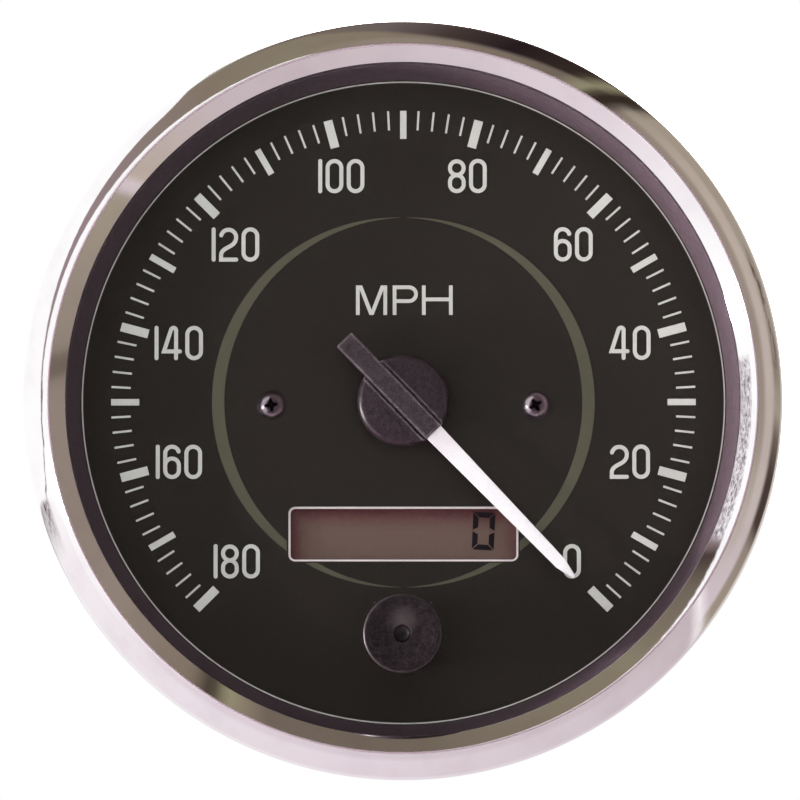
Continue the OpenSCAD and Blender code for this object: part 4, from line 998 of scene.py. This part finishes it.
class SPEEDO_OT_bezel(Operator):
    """Builds the spun and chromed bezel"""
    bl_idname = "speedo.bezel"
    bl_label = "Bezel"

    def execute(self, context):
        s = settings()
        rim_r, top = span("bezel")[1].x, span("bezel")[1].z
        lip_rear = span("lens_gasket")[1].z
        crest_r, lip_r, sheet = mm(s.crest_radius), mm(s.lip_radius), mm(s.bezel_sheet)
        side, crimp, crown = mm(s.side_round), mm(s.crimp_round), mm(s.crest_round)
        start, stop = s.face_outer_tilt, s.face_inner_tilt
        centre_r = rim_r - side
        face_r = ((centre_r - crest_r + side * math.cos(start) - crown * math.cos(stop))
                  / (math.cos(start) - math.cos(stop)))
        side_z = top - crown - (side - face_r) * math.sin(start) - (face_r - crown) * math.sin(stop)
        face = (centre_r + (side - face_r) * math.cos(start), side_z + (side - face_r) * math.sin(start))
        crest = (crest_r, top - crown)
        edge = mm(s.lip_round)
        lip = (lip_r + edge, lip_rear + mm(s.lip_edge) - edge)
        across = Vector(crest) - Vector(lip)
        inner = math.atan2(across.y, across.x) + math.acos((edge - crown) / across.length)
        outward = Vector((math.cos(inner), math.sin(inner)))
        neck_r, burr = mm(s.crimp_radius), 0.12
        profile = arc((neck_r + burr, burr), burr, 180, 270, 4)
        profile += arc((rim_r - crimp, crimp), crimp, -90, 0, 12)
        profile += arc((centre_r, side_z), side, 0, math.degrees(start), 20)
        profile += arc(face, face_r, math.degrees(start), math.degrees(stop), 28)[1:]
        profile += arc(crest, crown, math.degrees(stop), math.degrees(inner), 16)[1:]
        band_start, band_stop = Vector(crest) + crown * outward, Vector(lip) + edge * outward
        for i in range(1, 12):
            t = i / 12
            bulge = mm(s.band_crown) * 4 * t * (1 - t)
            profile.append(tuple(band_start.lerp(band_stop, t) + bulge * outward))
        profile += arc(lip, edge, math.degrees(inner), 180, 6)
        under_crest = Vector((0.08, 1))
        inside = Vector(crest) - (sheet - crown) * under_crest
        profile += [(lip_r, lip_rear), (inside.x - (inside.y - lip_rear) * across.x / across.y, lip_rear),
                    tuple(inside)]
        profile += arc((centre_r, side_z), side - sheet, 45, 0, 8)
        profile += [(centre_r + side - sheet, sheet), (neck_r, sheet)]
        piece("bezel_ring", lathe(profile, 512), "bezel_chrome", "case", "bezel", sharp=40)
        return {"FINISHED"}


class SPEEDO_OT_lens(Operator):
    """Builds the lens with its polished button hole, and the shroud behind it"""
    bl_idname = "speedo.lens"
    bl_label = "Lens and shroud"

    def execute(self, context):
        s = settings()
        low, high = span("lens")
        middle, button_r = round_place("button_cap")
        hole = button_r + mm(s.lens_hole_gap)
        edge, past = 0.15, 1
        disc = rod(high.x, low.z, high.z, steps=256, edge=edge)
        cutter = lathe([(0, low.z - past), (hole + edge + past, low.z - past), (hole, low.z + edge),
                        (hole, high.z - edge), (hole + edge + past, high.z + past), (0, high.z + past)],
                       96, middle, closed=False)
        piece("lens_disc", carved(disc, cutter), "lens_glass", "case", "lens")
        dress("gasket_rubber", "lens_gasket")

        low, high = span("dial_shroud")
        mouth, floor, tube = mm(s.shroud_mouth), mm(s.shroud_floor), mm(s.shroud_tube)
        flange = high.z - mm(s.shroud_flange)
        nose, foot = 0.15, 0.1
        profile = arc((mouth + nose, high.z - nose), nose, 170, 90, 4)
        profile += [(high.x, high.z), (high.x, flange), (tube, flange), (tube, low.z), (floor + foot, low.z),
                    (floor, low.z + foot)]
        piece("shroud_funnel", lathe(profile, 256), "shroud_black", "case", "dial_shroud")
        return {"FINISHED"}


class SPEEDO_OT_dial(Operator):
    """Builds the dial's numerals, its legend and its screws"""
    bl_idname = "speedo.dial"
    bl_label = "Dial"

    # Middle of each right-hand numeral, and the texts at the right and at the left
    numeral_rows = [
        (24.4, -23.2, "0", "180"), (32.85, -8.7, "20", "160"), (32.9, 8.65, "40", "140"),
        (24.65, 23.05, "60", "120"), (9.2, 33.05, "80", "100"),
    ]

    def execute(self, context):
        s = settings()
        dress("dial_paint", "dial_plate")
        dress("dial_ink", "dial_graduations")
        low, high = span("dial_graduations")
        h, w, pen, gap = (mm(v) for v in (s.numeral_height, s.numeral_width, s.numeral_stroke, s.numeral_gap))
        numbers = []
        for x, y, right, left in self.numeral_rows:
            for text, side in ((right, 1), (left, -1)):
                numbers.append(inked(number(text, mm(s.numeral_shift) + side * x, y, h, w, pen, gap), low.z, high.z))
        piece("dial_numerals", joined(*numbers), "dial_ink", "case")
        piece("dial_legend", inked(self.legend(s), low.z, high.z), "dial_ink", "case")
        self.build_screws(s)
        return {"FINISHED"}

    def legend(self, s):
        """Unit legend in light square-ended capitals."""
        h, w, pen = mm(s.legend_height), mm(s.legend_width), mm(s.legend_stroke)
        left, base = mm(s.legend_shift) - w / 2, mm(s.legend_rise) - h / 2
        half = pen / 2

        def bar(x, y, x2, y2):
            return [(left + x, base + y), (left + x2, base + y), (left + x2, base + y2), (left + x, base + y2)]

        def line(points):
            return stroke([(left + x, base + y) for x, y in points], pen, round_ends=False)

        m_w, p_x, p_w, h_x, h_bar = 0.322 * w, 0.38 * w, 0.26 * w, 0.682 * w, 0.527 * h
        slant, shoulder = 0.55 * pen, 1.12 * pen
        polygons = [bar(0, 0, pen, h), bar(m_w - pen, 0, m_w, h)]
        for top in (shoulder, m_w - shoulder):
            polygons.append([(left + x, base + y) for x, y in (
                (top - slant, h), (m_w / 2 - slant, 0), (m_w / 2 + slant, 0), (top + slant, h))])
        r = 0.297 * h - half
        middle = p_x + p_w - half - r
        bowl = [(p_x + half, h - half), *arc((middle, h - half - r), r, 90, -90, 16), (p_x + half, h - half - 2 * r)]
        polygons += [bar(p_x, 0, p_x + pen, h)] + line(bowl)
        polygons += [bar(h_x, 0, h_x + pen, h), bar(w - pen, 0, w, h)]
        polygons.append(bar(h_x + half, h_bar - half, w - half, h_bar + half))
        return polygons

    def build_screws(self, s):
        low, high = span("dial_screws")
        face = span("dial_graduations")[0].z
        r, y = (high.y - low.y) / 2, (high.y + low.y) / 2
        shank_r, pitch = 1.1, 0.45
        heads = []
        for x, turn in ((low.x + r, s.left_screw_turn), (high.x - r, s.right_screw_turn)):
            head = pan_head(r, face, high.z, fall=54)
            head = carved(head, cross_recess(reach=1.3, width=0.5, top=high.z, depth=0.8))
            head = joined(head, thread(shank_r, pitch, low.z, face - shank_gap, steps=24))
            heads.append(moved(turned(head, math.degrees(turn)), x, y))
        piece("dial_screw_pair", joined(*heads), "screw_steel", "case", "dial_screws", slot="zinc_steel")


def pan_head(r, base, top, fall):
    """Domed screw head on a short rim; fall is the dome's slope at the rim."""
    foot, corner = 0.08, 0.1
    ball = (r - corner) / math.sin(math.radians(fall))
    rim = top - ball * (1 - math.cos(math.radians(fall)))
    profile = [(0, base), (r - foot, base), (r, base + foot), (r, max(rim - corner, base + corner))]
    profile += arc((0, top - ball), ball, 90 - fall, 89, 14)
    profile.append((0, top))
    return lathe(profile, 96, closed=False)


def cross_recess(reach, width, top, depth):
    """Tapered cross that cuts a driver's recess."""
    end_taper, side_taper, past = 0.52, 0.72, 0.3
    arms = []
    for quarter in (0, 90):
        bm = box((-reach, reach), (-width / 2, width / 2), (top - depth, top + 0.4))
        for v in bm.verts:
            if v.co.z < top - depth / 2:
                v.co.x *= end_taper
                v.co.y *= side_taper
        arms.append(turned(bm, quarter))
    cone = 0.56 * reach
    point = lathe([(0, top - cone), (cone + past, top + past), (0, top + past)], 24, closed=False)
    return carved(arms[0], arms[1], point, operation="UNION")


class SPEEDO_OT_display(Operator):
    """Finishes the liquid-crystal display and the frame round it"""
    bl_idname = "speedo.display"
    bl_label = "Display"

    def execute(self, context):
        dress("display_glass", "display_cell")
        dress("display_ink", "display_digit")
        dress("white_plastic", "display_holder", "chassis")
        dress("tinned_brass", "display_pins")
        return {"FINISHED"}


class SPEEDO_OT_pointer(Operator):
    """Builds the pointer's hub, arm and blade"""
    bl_idname = "speedo.pointer"
    bl_label = "Pointer"

    def execute(self, context):
        s = settings()
        rest = math.degrees(s.rest_angle)
        low, high = span("pointer_hub")
        r = high.x
        arm_low, arm_high = span("pointer_arm")
        arm_w, channel = mm(s.arm_width), mm(s.channel_width)
        edge, dome, foot = mm(s.hub_edge), mm(s.hub_dome), 0.15
        profile = [(0, low.z), (r - foot, low.z), (r, low.z + foot)]
        profile += arc((r - edge, high.z - dome - edge), edge, 0, 80, 10)
        dome_places = (0.93 * (r - edge), 0.8 * r, 0.7 * r, 0.5 * r)
        profile += [(x, high.z - dome * (x / (r - edge)) ** 3) for x in dome_places]
        profile.append((0, high.z))
        hub = lathe(profile, 144, closed=False)
        hub = carved(hub, box((-2 * r, 2 * r), (-channel / 2, channel / 2), (arm_low.z, high.z + 1)))
        hub = bevel(hub, mm(s.channel_edge))
        piece("pointer_hub_disc", turned(hub, rest), "pointer_dark", "pointer", "pointer_hub")

        tail, front = mm(s.tail_length), mm(s.arm_front)
        arm = box((-tail, front), (-arm_w / 2, arm_w / 2), (arm_low.z, arm_high.z))
        arm = bevel(arm, mm(s.arm_edge), 3)
        piece("pointer_arm_bar", turned(arm, rest), "arm_dark", "pointer", "pointer_arm", slot="pointer_dark")

        low, high = span("pointer_blade")
        length, root, tip = mm(s.blade_length), mm(s.blade_root), mm(s.blade_tip)
        bevel_x = length - mm(s.blade_bevel)
        nose = mm(s.blade_nose)
        outline = [(front, -root / 2), (bevel_x, -tip / 2)]
        outline += arc((length - nose, 0), nose, -70, 70, 8)
        outline += [(bevel_x, tip / 2), (front, root / 2)]
        blade = bevel(prism(outline, low.z, high.z), mm(s.blade_edge))
        tongue_w, inset, overlap = mm(s.tongue_width), 0.05, 0.3
        tongue = box((front - mm(s.tongue_length), front + overlap), (-tongue_w / 2, tongue_w / 2),
                     (low.z + inset, high.z - inset))
        piece("pointer_blade_strip", turned(joined(blade, tongue), rest), "pointer_white", "pointer",
              "pointer_blade")
        dress("zinc_steel", "pointer_weight", "spindle")
        dress("tinned_brass", "pointer_bush")
        return {"FINISHED"}


class SPEEDO_OT_button(Operator):
    """Builds the push button's cap and finishes what lies behind it"""
    bl_idname = "speedo.button"
    bl_label = "Button"

    def execute(self, context):
        s = settings()
        low, high = span("button_cap")
        middle, r = round_place("button_cap")
        edge, rim, dish = mm(s.cap_edge), mm(s.cap_rim), mm(s.cap_dish)
        pit_r, pit = mm(s.dimple_radius), mm(s.dimple_depth)
        dish_r = r - edge - rim
        floor = high.z - dish
        stem_r, socket, foot = 2.45, 3.0, 0.15
        profile = [(0, low.z + socket), (stem_r, low.z + socket), (stem_r, low.z), (r - foot, low.z),
                   (r, low.z + foot)]
        profile += arc((r - edge, high.z - edge), edge, 0, 90, 10)
        profile.append((dish_r, high.z))
        lip, lip_drop = 0.12, 0.14
        for i in range(1, 9):
            x = dish_r + (pit_r + lip - dish_r) * i / 8
            profile.append((x, floor + dish * (x / dish_r) ** 2))
        lip_z = profile[-1][1]
        profile += bezier(profile[-1], (pit_r, lip_z), (pit_r, lip_z), (pit_r - 0.05, lip_z - lip_drop), 4)
        profile += bezier(profile[-1], (pit_r * 0.85, floor - pit * 0.75), (pit_r * 0.5, floor - pit),
                          (0.02, floor - pit), 8)
        profile.append((0, floor - pit))
        piece("button_cap_dished", lathe(profile, 128, middle, closed=False), "button_dark", "button",
              "button_cap")
        dress("button_dark", "button_stem")
        dress("spring_steel", "button_clip")
        dress("chip_plastic", "button_guide", "switch_body")
        dress("bobbin_plastic", "switch_plunger")
        self.build_spring(s, middle)
        return {"FINISHED"}

    def build_spring(self, s, middle):
        """Coil in place of the plain sleeve, with closed ends."""
        low, high = span("button_spring")
        wire = mm(s.spring_wire) / 2
        r = (high.x - low.x) / 2 - wire
        turns, per_turn, sides = s.spring_turns, 28, 10
        rings = []
        count = int(turns * per_turn)
        bm = bmesh.new()
        for i in range(count + 1):
            t = i / count
            ease = min(max((t * turns - 1) / (turns - 2), 0), 1)
            z = low.z + wire + ease * (high.z - low.z - 2 * wire)
            around = math.tau * i / per_turn
            ring = []
            for k in range(sides):
                a = math.tau * k / sides
                reach = r + wire * math.cos(a)
                ring.append(bm.verts.new((middle[0] + reach * math.cos(around),
                                          middle[1] + reach * math.sin(around), z + wire * math.sin(a))))
            rings.append(ring)
        coil = piece("button_coil", skinned(bm, rings), "spring_steel", "case", "button_spring")
        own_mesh(coil)


class SPEEDO_OT_case(Operator):
    """Finishes the case and builds its studs and screws"""
    bl_idname = "speedo.case"
    bl_label = "Case, studs and screws"

    def execute(self, context):
        s = settings()
        dress("case_paint", "case_shell")
        rear = span("case_shell")[0].z
        low, high = span("mounting_studs")
        head_r, stud_r = (high.y - low.y) / 2, mm(s.stud_radius)
        head_base, thread_end = high.z - mm(s.stud_head), rear - mm(s.stud_plain)
        studs = []
        for x in (low.x + head_r, high.x - head_r):
            studs += [thread(stud_r, mm(s.stud_pitch), low.z, thread_end, centre=(x, 0)),
                      rod(stud_r, thread_end, rear, (x, 0), edge=0.05),
                      rod(mm(s.stud_neck), rear, head_base, (x, 0)),
                      rod(head_r, head_base, high.z, (x, 0), edge=0.15)]
        piece("threaded_studs", joined(*studs), "zinc_steel", "case", "mounting_studs")

        low, high = span("case_screws")
        shank_r, pitch = 1.4, 0.5
        first_turn, next_turn = 17, 38
        screws = []
        # The heads are drawn facing the driver and then turned to the rear
        for i, (x, y) in enumerate(screw_places("case_screws")):
            head = pan_head(mm(s.case_screw_radius), -rear, -low.z, fall=46)
            head = carved(head, cross_recess(reach=1.75, width=0.85, top=-low.z, depth=1.1))
            head = turned(turned(head, first_turn + next_turn * i), 180, "X")
            shank = thread(shank_r, pitch, rear + shank_gap, high.z, steps=24)
            screws.append(moved(joined(head, shank), x, y))
        piece("case_screw_set", joined(*screws), "zinc_steel", "case", "case_screws")
        return {"FINISHED"}


def screw_places(node):
    """Middles of the separate solids of a node, as the driver sees them."""
    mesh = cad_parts[node].data
    bm = bmesh.new()
    bm.from_mesh(mesh)
    bmesh.ops.remove_doubles(bm, verts=bm.verts, dist=1e-6)
    left, places = set(bm.verts), []
    while left:
        island, front = set(), [left.pop()]
        while front:
            vert = front.pop()
            island.add(vert)
            for e in vert.link_edges:
                other = e.other_vert(vert)
                if other in left:
                    left.discard(other)
                    front.append(other)
        xs, zs = [v.co.x for v in island], [v.co.z for v in island]
        places.append((500 * (min(xs) + max(xs)), 500 * (min(zs) + max(zs))))
    bm.free()
    merged = []
    for p in sorted(places):
        if all((p[0] - q[0]) ** 2 + (p[1] - q[1]) ** 2 > 1 for q in merged):
            merged.append(p)
    return merged


class SPEEDO_OT_fittings(Operator):
    """Builds the terminal block, the spade terminals and the lamp holders"""
    bl_idname = "speedo.fittings"
    bl_label = "Terminals and lamps"

    def execute(self, context):
        s = settings()
        dress("chip_plastic", "terminal_block")
        dress("tinned_brass", "terminal_blades")
        dress("bulb_glass", "lamp_bulbs")
        self.build_lamp_holders(s)
        return {"FINISHED"}

    def build_lamp_holders(self, s):
        low, high = span("lamp_holders")
        rear = span("case_shell")[0].z
        flange_r, body_r = mm(s.lamp_flange), mm(s.lamp_body)
        flange = rear - mm(s.lamp_flange_depth)
        y, past = (low.y + high.y) / 2, 1
        notch_r, notch_count, notch_reach = 0.9, 12, 1.035 * flange_r
        grip_half, grip_inset = 1.5, 1.5
        lug_root, lug_tip, lug_low, lug_high = body_r - 0.3, body_r + 0.35, rear + 1.6, rear + 2.8
        holders = []
        for side, x in ((-1, low.x + flange_r), (1, high.x - flange_r)):
            notches = []
            for k in range(notch_count):
                turn = math.tau * (k + 0.5) / notch_count
                place = (notch_reach * math.cos(turn), notch_reach * math.sin(turn))
                notches.append(rod(notch_r, flange - past, rear + past, place, steps=16))
            plate = carved(rod(flange_r, flange, rear, edge=0.25, steps=96), joined(*notches))
            grip = box((grip_inset - flange_r, flange_r - grip_inset), (-grip_half, grip_half),
                       (low.z, flange + 0.1))
            socket = carved(rod(body_r, rear, high.z, edge=0.3, steps=72),
                            rod(mm(s.bulb_radius) + 0.05, high.z - 5, high.z + past))
            lugs = [box(across, (-1, 1), (lug_low, lug_high))
                    for across in ((lug_root, lug_tip), (-lug_tip, -lug_root))]
            holder = joined(plate, bevel(grip, 0.5, 3), socket, *lugs)
            holders.append(moved(turned(holder, 20 * side), x, y))
        piece("lamp_holder_pair", joined(*holders), "lamp_plastic", "case", "lamp_holders")


class SPEEDO_OT_inside(Operator):
    """Finishes the movement, the board and what stands on it"""
    bl_idname = "speedo.inside"
    bl_label = "Movement and board"

    def execute(self, context):
        dress("board_laminate", "circuit_board")
        dress("chip_plastic", "board_chips")
        dress("capacitor_sleeve", "board_capacitors")
        dress("tinned_brass", "board_standoffs", "movement_pins")
        dress("shield_steel", "movement_can")
        dress("bobbin_plastic", "bobbin_front", "bobbin_rear")
        dress("winding_copper", "inner_winding", "outer_winding")
        dress("bearing_bronze", "front_bearing", "rear_bearing")
        dress("magnet_ferrite", "rotor_magnet")
        return {"FINISHED"}


# Settings, panel and run

class SpeedoSettings(PropertyGroup):
    """Sizes, colours and light that can be changed before the steps are run"""
    camera_distance: size("Camera distance", "From the camera to the gauge", 1000)
    camera_lens: FloatProperty(name="Camera lens", description="Focal length", default=311.3, min=1, unit="CAMERA")
    camera_side: angle("Camera side", "Turn of the camera to the right of the gauge", 0.5)
    camera_rise: angle("Camera rise", "Height of the camera over the gauge", -3.0)
    fill_level: amount("Fill level", "Strength of the studio's even light", 0.12)
    front_level: amount("Front level", "Strength of the light from the front", 3.8)
    key_power: amount("Key power", "Watts of the lamp at the left", 4.8)
    side_power: amount("Side power", "Watts of the small lamp that shines over the bezel", 0.55)
    back_power: amount("Back power", "Watts of the lamp behind", 6.0)
    floor_drop: size("Floor drop", "From the gauge's axis down to the floor", 130)
    floor_radius: size("Floor radius", "Half the floor's width", 900)

    bezel_sheet: size("Bezel sheet", "Thickness of the bezel", 1.0)
    crest_radius: size("Crest radius", "Radius of the bezel's foremost line", 51.1)
    crest_round: size("Crest rounding", "Radius that rounds the crest", 0.3)
    face_outer_tilt: angle("Outer tilt", "Tilt of the outer face beside the side, off the panel", 31)
    face_inner_tilt: angle("Inner tilt", "Tilt of the outer face beside the crest, off the panel", 48.5)
    band_crown: size("Band crown", "Bulge of the inner band", 0.03)
    lip_radius: size("Lip radius", "Inner radius of the bezel", 48.7)
    lip_edge: size("Lip edge", "Thickness of the lip", 0.8)
    lip_round: size("Lip rounding", "Rounding of the lip", 0.12)
    side_round: size("Side rounding", "Radius between face and side", 3.75)
    crimp_round: size("Crimp rounding", "Radius between side and crimp", 1.2)
    crimp_radius: size("Crimp radius", "Inner radius of the crimp", 51.0)

    lens_hole_gap: size("Lens hole gap", "Gap between button and lens", 0.3)
    shroud_mouth: size("Shroud mouth", "Inner radius at the lens", 48.6)
    shroud_floor: size("Shroud floor", "Inner radius at the dial", 47.05)
    shroud_tube: size("Shroud tube", "Outer radius in the case", 49.0)
    shroud_flange: size("Shroud flange", "Thickness of its flange", 1.4)
    shroud_colour: tint("Shroud", "Colour of the shroud", 76, 62, 67)

    dial_colour: tint("Dial", "Colour of the dial", 38, 32, 27)
    ink_colour: tint("Ink", "Colour of numerals and marks", 198, 196, 191)
    crescent_colour: tint("Crescents", "Colour of the crescents", 82, 79, 64)
    ring_colour: tint("Edge ring", "Colour of the thin ring at the dial's edge", 190, 185, 180)
    numeral_height: size("Numeral height", "Height of the numerals", 5.0)
    numeral_width: size("Numeral width", "Width of a nought", 2.58)
    numeral_stroke: size("Numeral stroke", "Width of their pen", 0.58)
    numeral_gap: size("Numeral gap", "Gap between numerals", 0.5)
    numeral_shift: size("Numeral shift", "Shift to the right", 0.15)
    legend_height: size("Legend height", "Height of the unit legend", 4.31)
    legend_width: size("Legend width", "Width of the unit legend", 14.11)
    legend_stroke: size("Legend stroke", "Width of its strokes", 0.54)
    legend_rise: size("Legend rise", "Height of its middle over the axis", 14.89)
    legend_shift: size("Legend shift", "Shift to the right", 0.15)
    left_screw_turn: angle("Left screw", "Turn of its recess", 8)
    right_screw_turn: angle("Right screw", "Turn of its recess", 30)

    cell_colour: tint("Display", "Colour of the display's middle", 104, 82, 74)
    # Painted shadow colour of the display window's edges
    cell_shadow_colour: tint("Display edge", "Colour at the display's upper and left edges", 84, 32, 41)

    rest_angle: angle("Rest angle", "Direction of the pointer at rest", -46)
    moulding_colour: tint("Dark mouldings", "Colour of hub and button", 20, 11, 15)
    arm_colour: tint("Arm", "Colour of the pointer's arm", 28, 17, 22)
    hub_edge: size("Hub edge", "Rounding of the hub", 1.0)
    hub_dome: size("Hub dome", "Fall of the hub's top towards its edge", 0.25)
    arm_width: size("Arm width", "Width of the pointer's arm", 3.03)
    channel_width: size("Channel width", "Width of the hub's channel", 3.83)
    channel_edge: size("Channel edge", "Rounding of the channel's edges", 0.1)
    arm_edge: size("Arm edge", "Rounding of the arm", 0.25)
    tail_length: size("Tail length", "From the axis to the tail's end", 12.3)
    arm_front: size("Arm front", "From the axis to the arm's front", 6.4)
    blade_length: size("Blade length", "From the axis to the tip", 35.7)
    blade_edge: size("Blade edge", "Rounding of the blade's edges", 0.14)
    blade_root: size("Blade root", "Width at the arm", 2.75)
    blade_tip: size("Blade tip", "Width where the tip begins", 1.75)
    blade_bevel: size("Blade bevel", "Length of the tip", 2.8)
    blade_nose: size("Blade nose", "Rounding of the tip", 0.3)
    tongue_length: size("Tongue length", "Length of the tongue in the arm", 3.0)
    tongue_width: size("Tongue width", "Width of that tongue", 1.5)

    cap_edge: size("Cap edge", "Rounding of the button", 0.35)
    cap_rim: size("Cap rim", "Width of its flat rim", 0.4)
    cap_dish: size("Cap dish", "Depth of its dish", 0.35)
    dimple_radius: size("Dimple radius", "Radius of its dimple", 1.3)
    dimple_depth: size("Dimple depth", "Depth of the dimple", 0.9)
    press_travel: size("Press travel", "Travel of the button", 1.5)
    spring_wire: size("Spring wire", "Thickness of the spring's wire", 0.7)
    spring_turns: amount("Spring turns", "Turns of the spring's wire", 6.5)

    stud_radius: size("Stud radius", "Radius of a mounting stud", 2.4)
    stud_neck: size("Stud neck", "Radius of its neck", 2.6)
    stud_pitch: size("Stud pitch", "Pitch of its thread", 0.8)
    stud_plain: size("Stud plain part", "Length without a thread at the case", 1.0)
    stud_head: size("Stud head", "Thickness of its head", 1.2)
    case_screw_radius: size("Case screw radius", "Radius of a case screw's head", 2.8)
    lamp_flange: size("Lamp flange", "Radius of a lamp holder's flange", 8.0)
    lamp_flange_depth: size("Lamp flange depth", "Thickness of that flange", 1.6)
    lamp_body: size("Lamp body", "Radius of a lamp holder inside the case", 5.8)
    bulb_radius: size("Bulb radius", "Radius of a bulb", 4.0)


class SPEEDO_PT_panel(Panel):
    """Lists the steps that build the gauge"""
    bl_idname = "SPEEDO_PT_panel"
    bl_label = "Speedometer"
    bl_space_type = "VIEW_3D"
    bl_region_type = "UI"
    bl_category = "Speedometer"

    def draw(self, context):
        for step in steps:
            self.layout.operator(step.bl_idname)
        for name in SpeedoSettings.__annotations__:
            self.layout.prop(context.scene.speedo, name)


steps = [
    SPEEDO_OT_finishes, SPEEDO_OT_stage, SPEEDO_OT_bezel, SPEEDO_OT_lens, SPEEDO_OT_dial, SPEEDO_OT_display,
    SPEEDO_OT_pointer, SPEEDO_OT_button, SPEEDO_OT_case, SPEEDO_OT_fittings, SPEEDO_OT_inside,
]


def register():
    for kind in (SpeedoSettings, *steps, SPEEDO_PT_panel):
        bpy.utils.register_class(kind)
    bpy.types.Scene.speedo = PointerProperty(type=SpeedoSettings)


def unregister():
    del bpy.types.Scene.speedo
    for kind in (SPEEDO_PT_panel, *reversed(steps), SpeedoSettings):
        bpy.utils.unregister_class(kind)


def main():
    register()
    for step in steps:
        group, name = step.bl_idname.split(".")
        getattr(getattr(bpy.ops, group), name)()


if __name__ == "__main__":
    main()
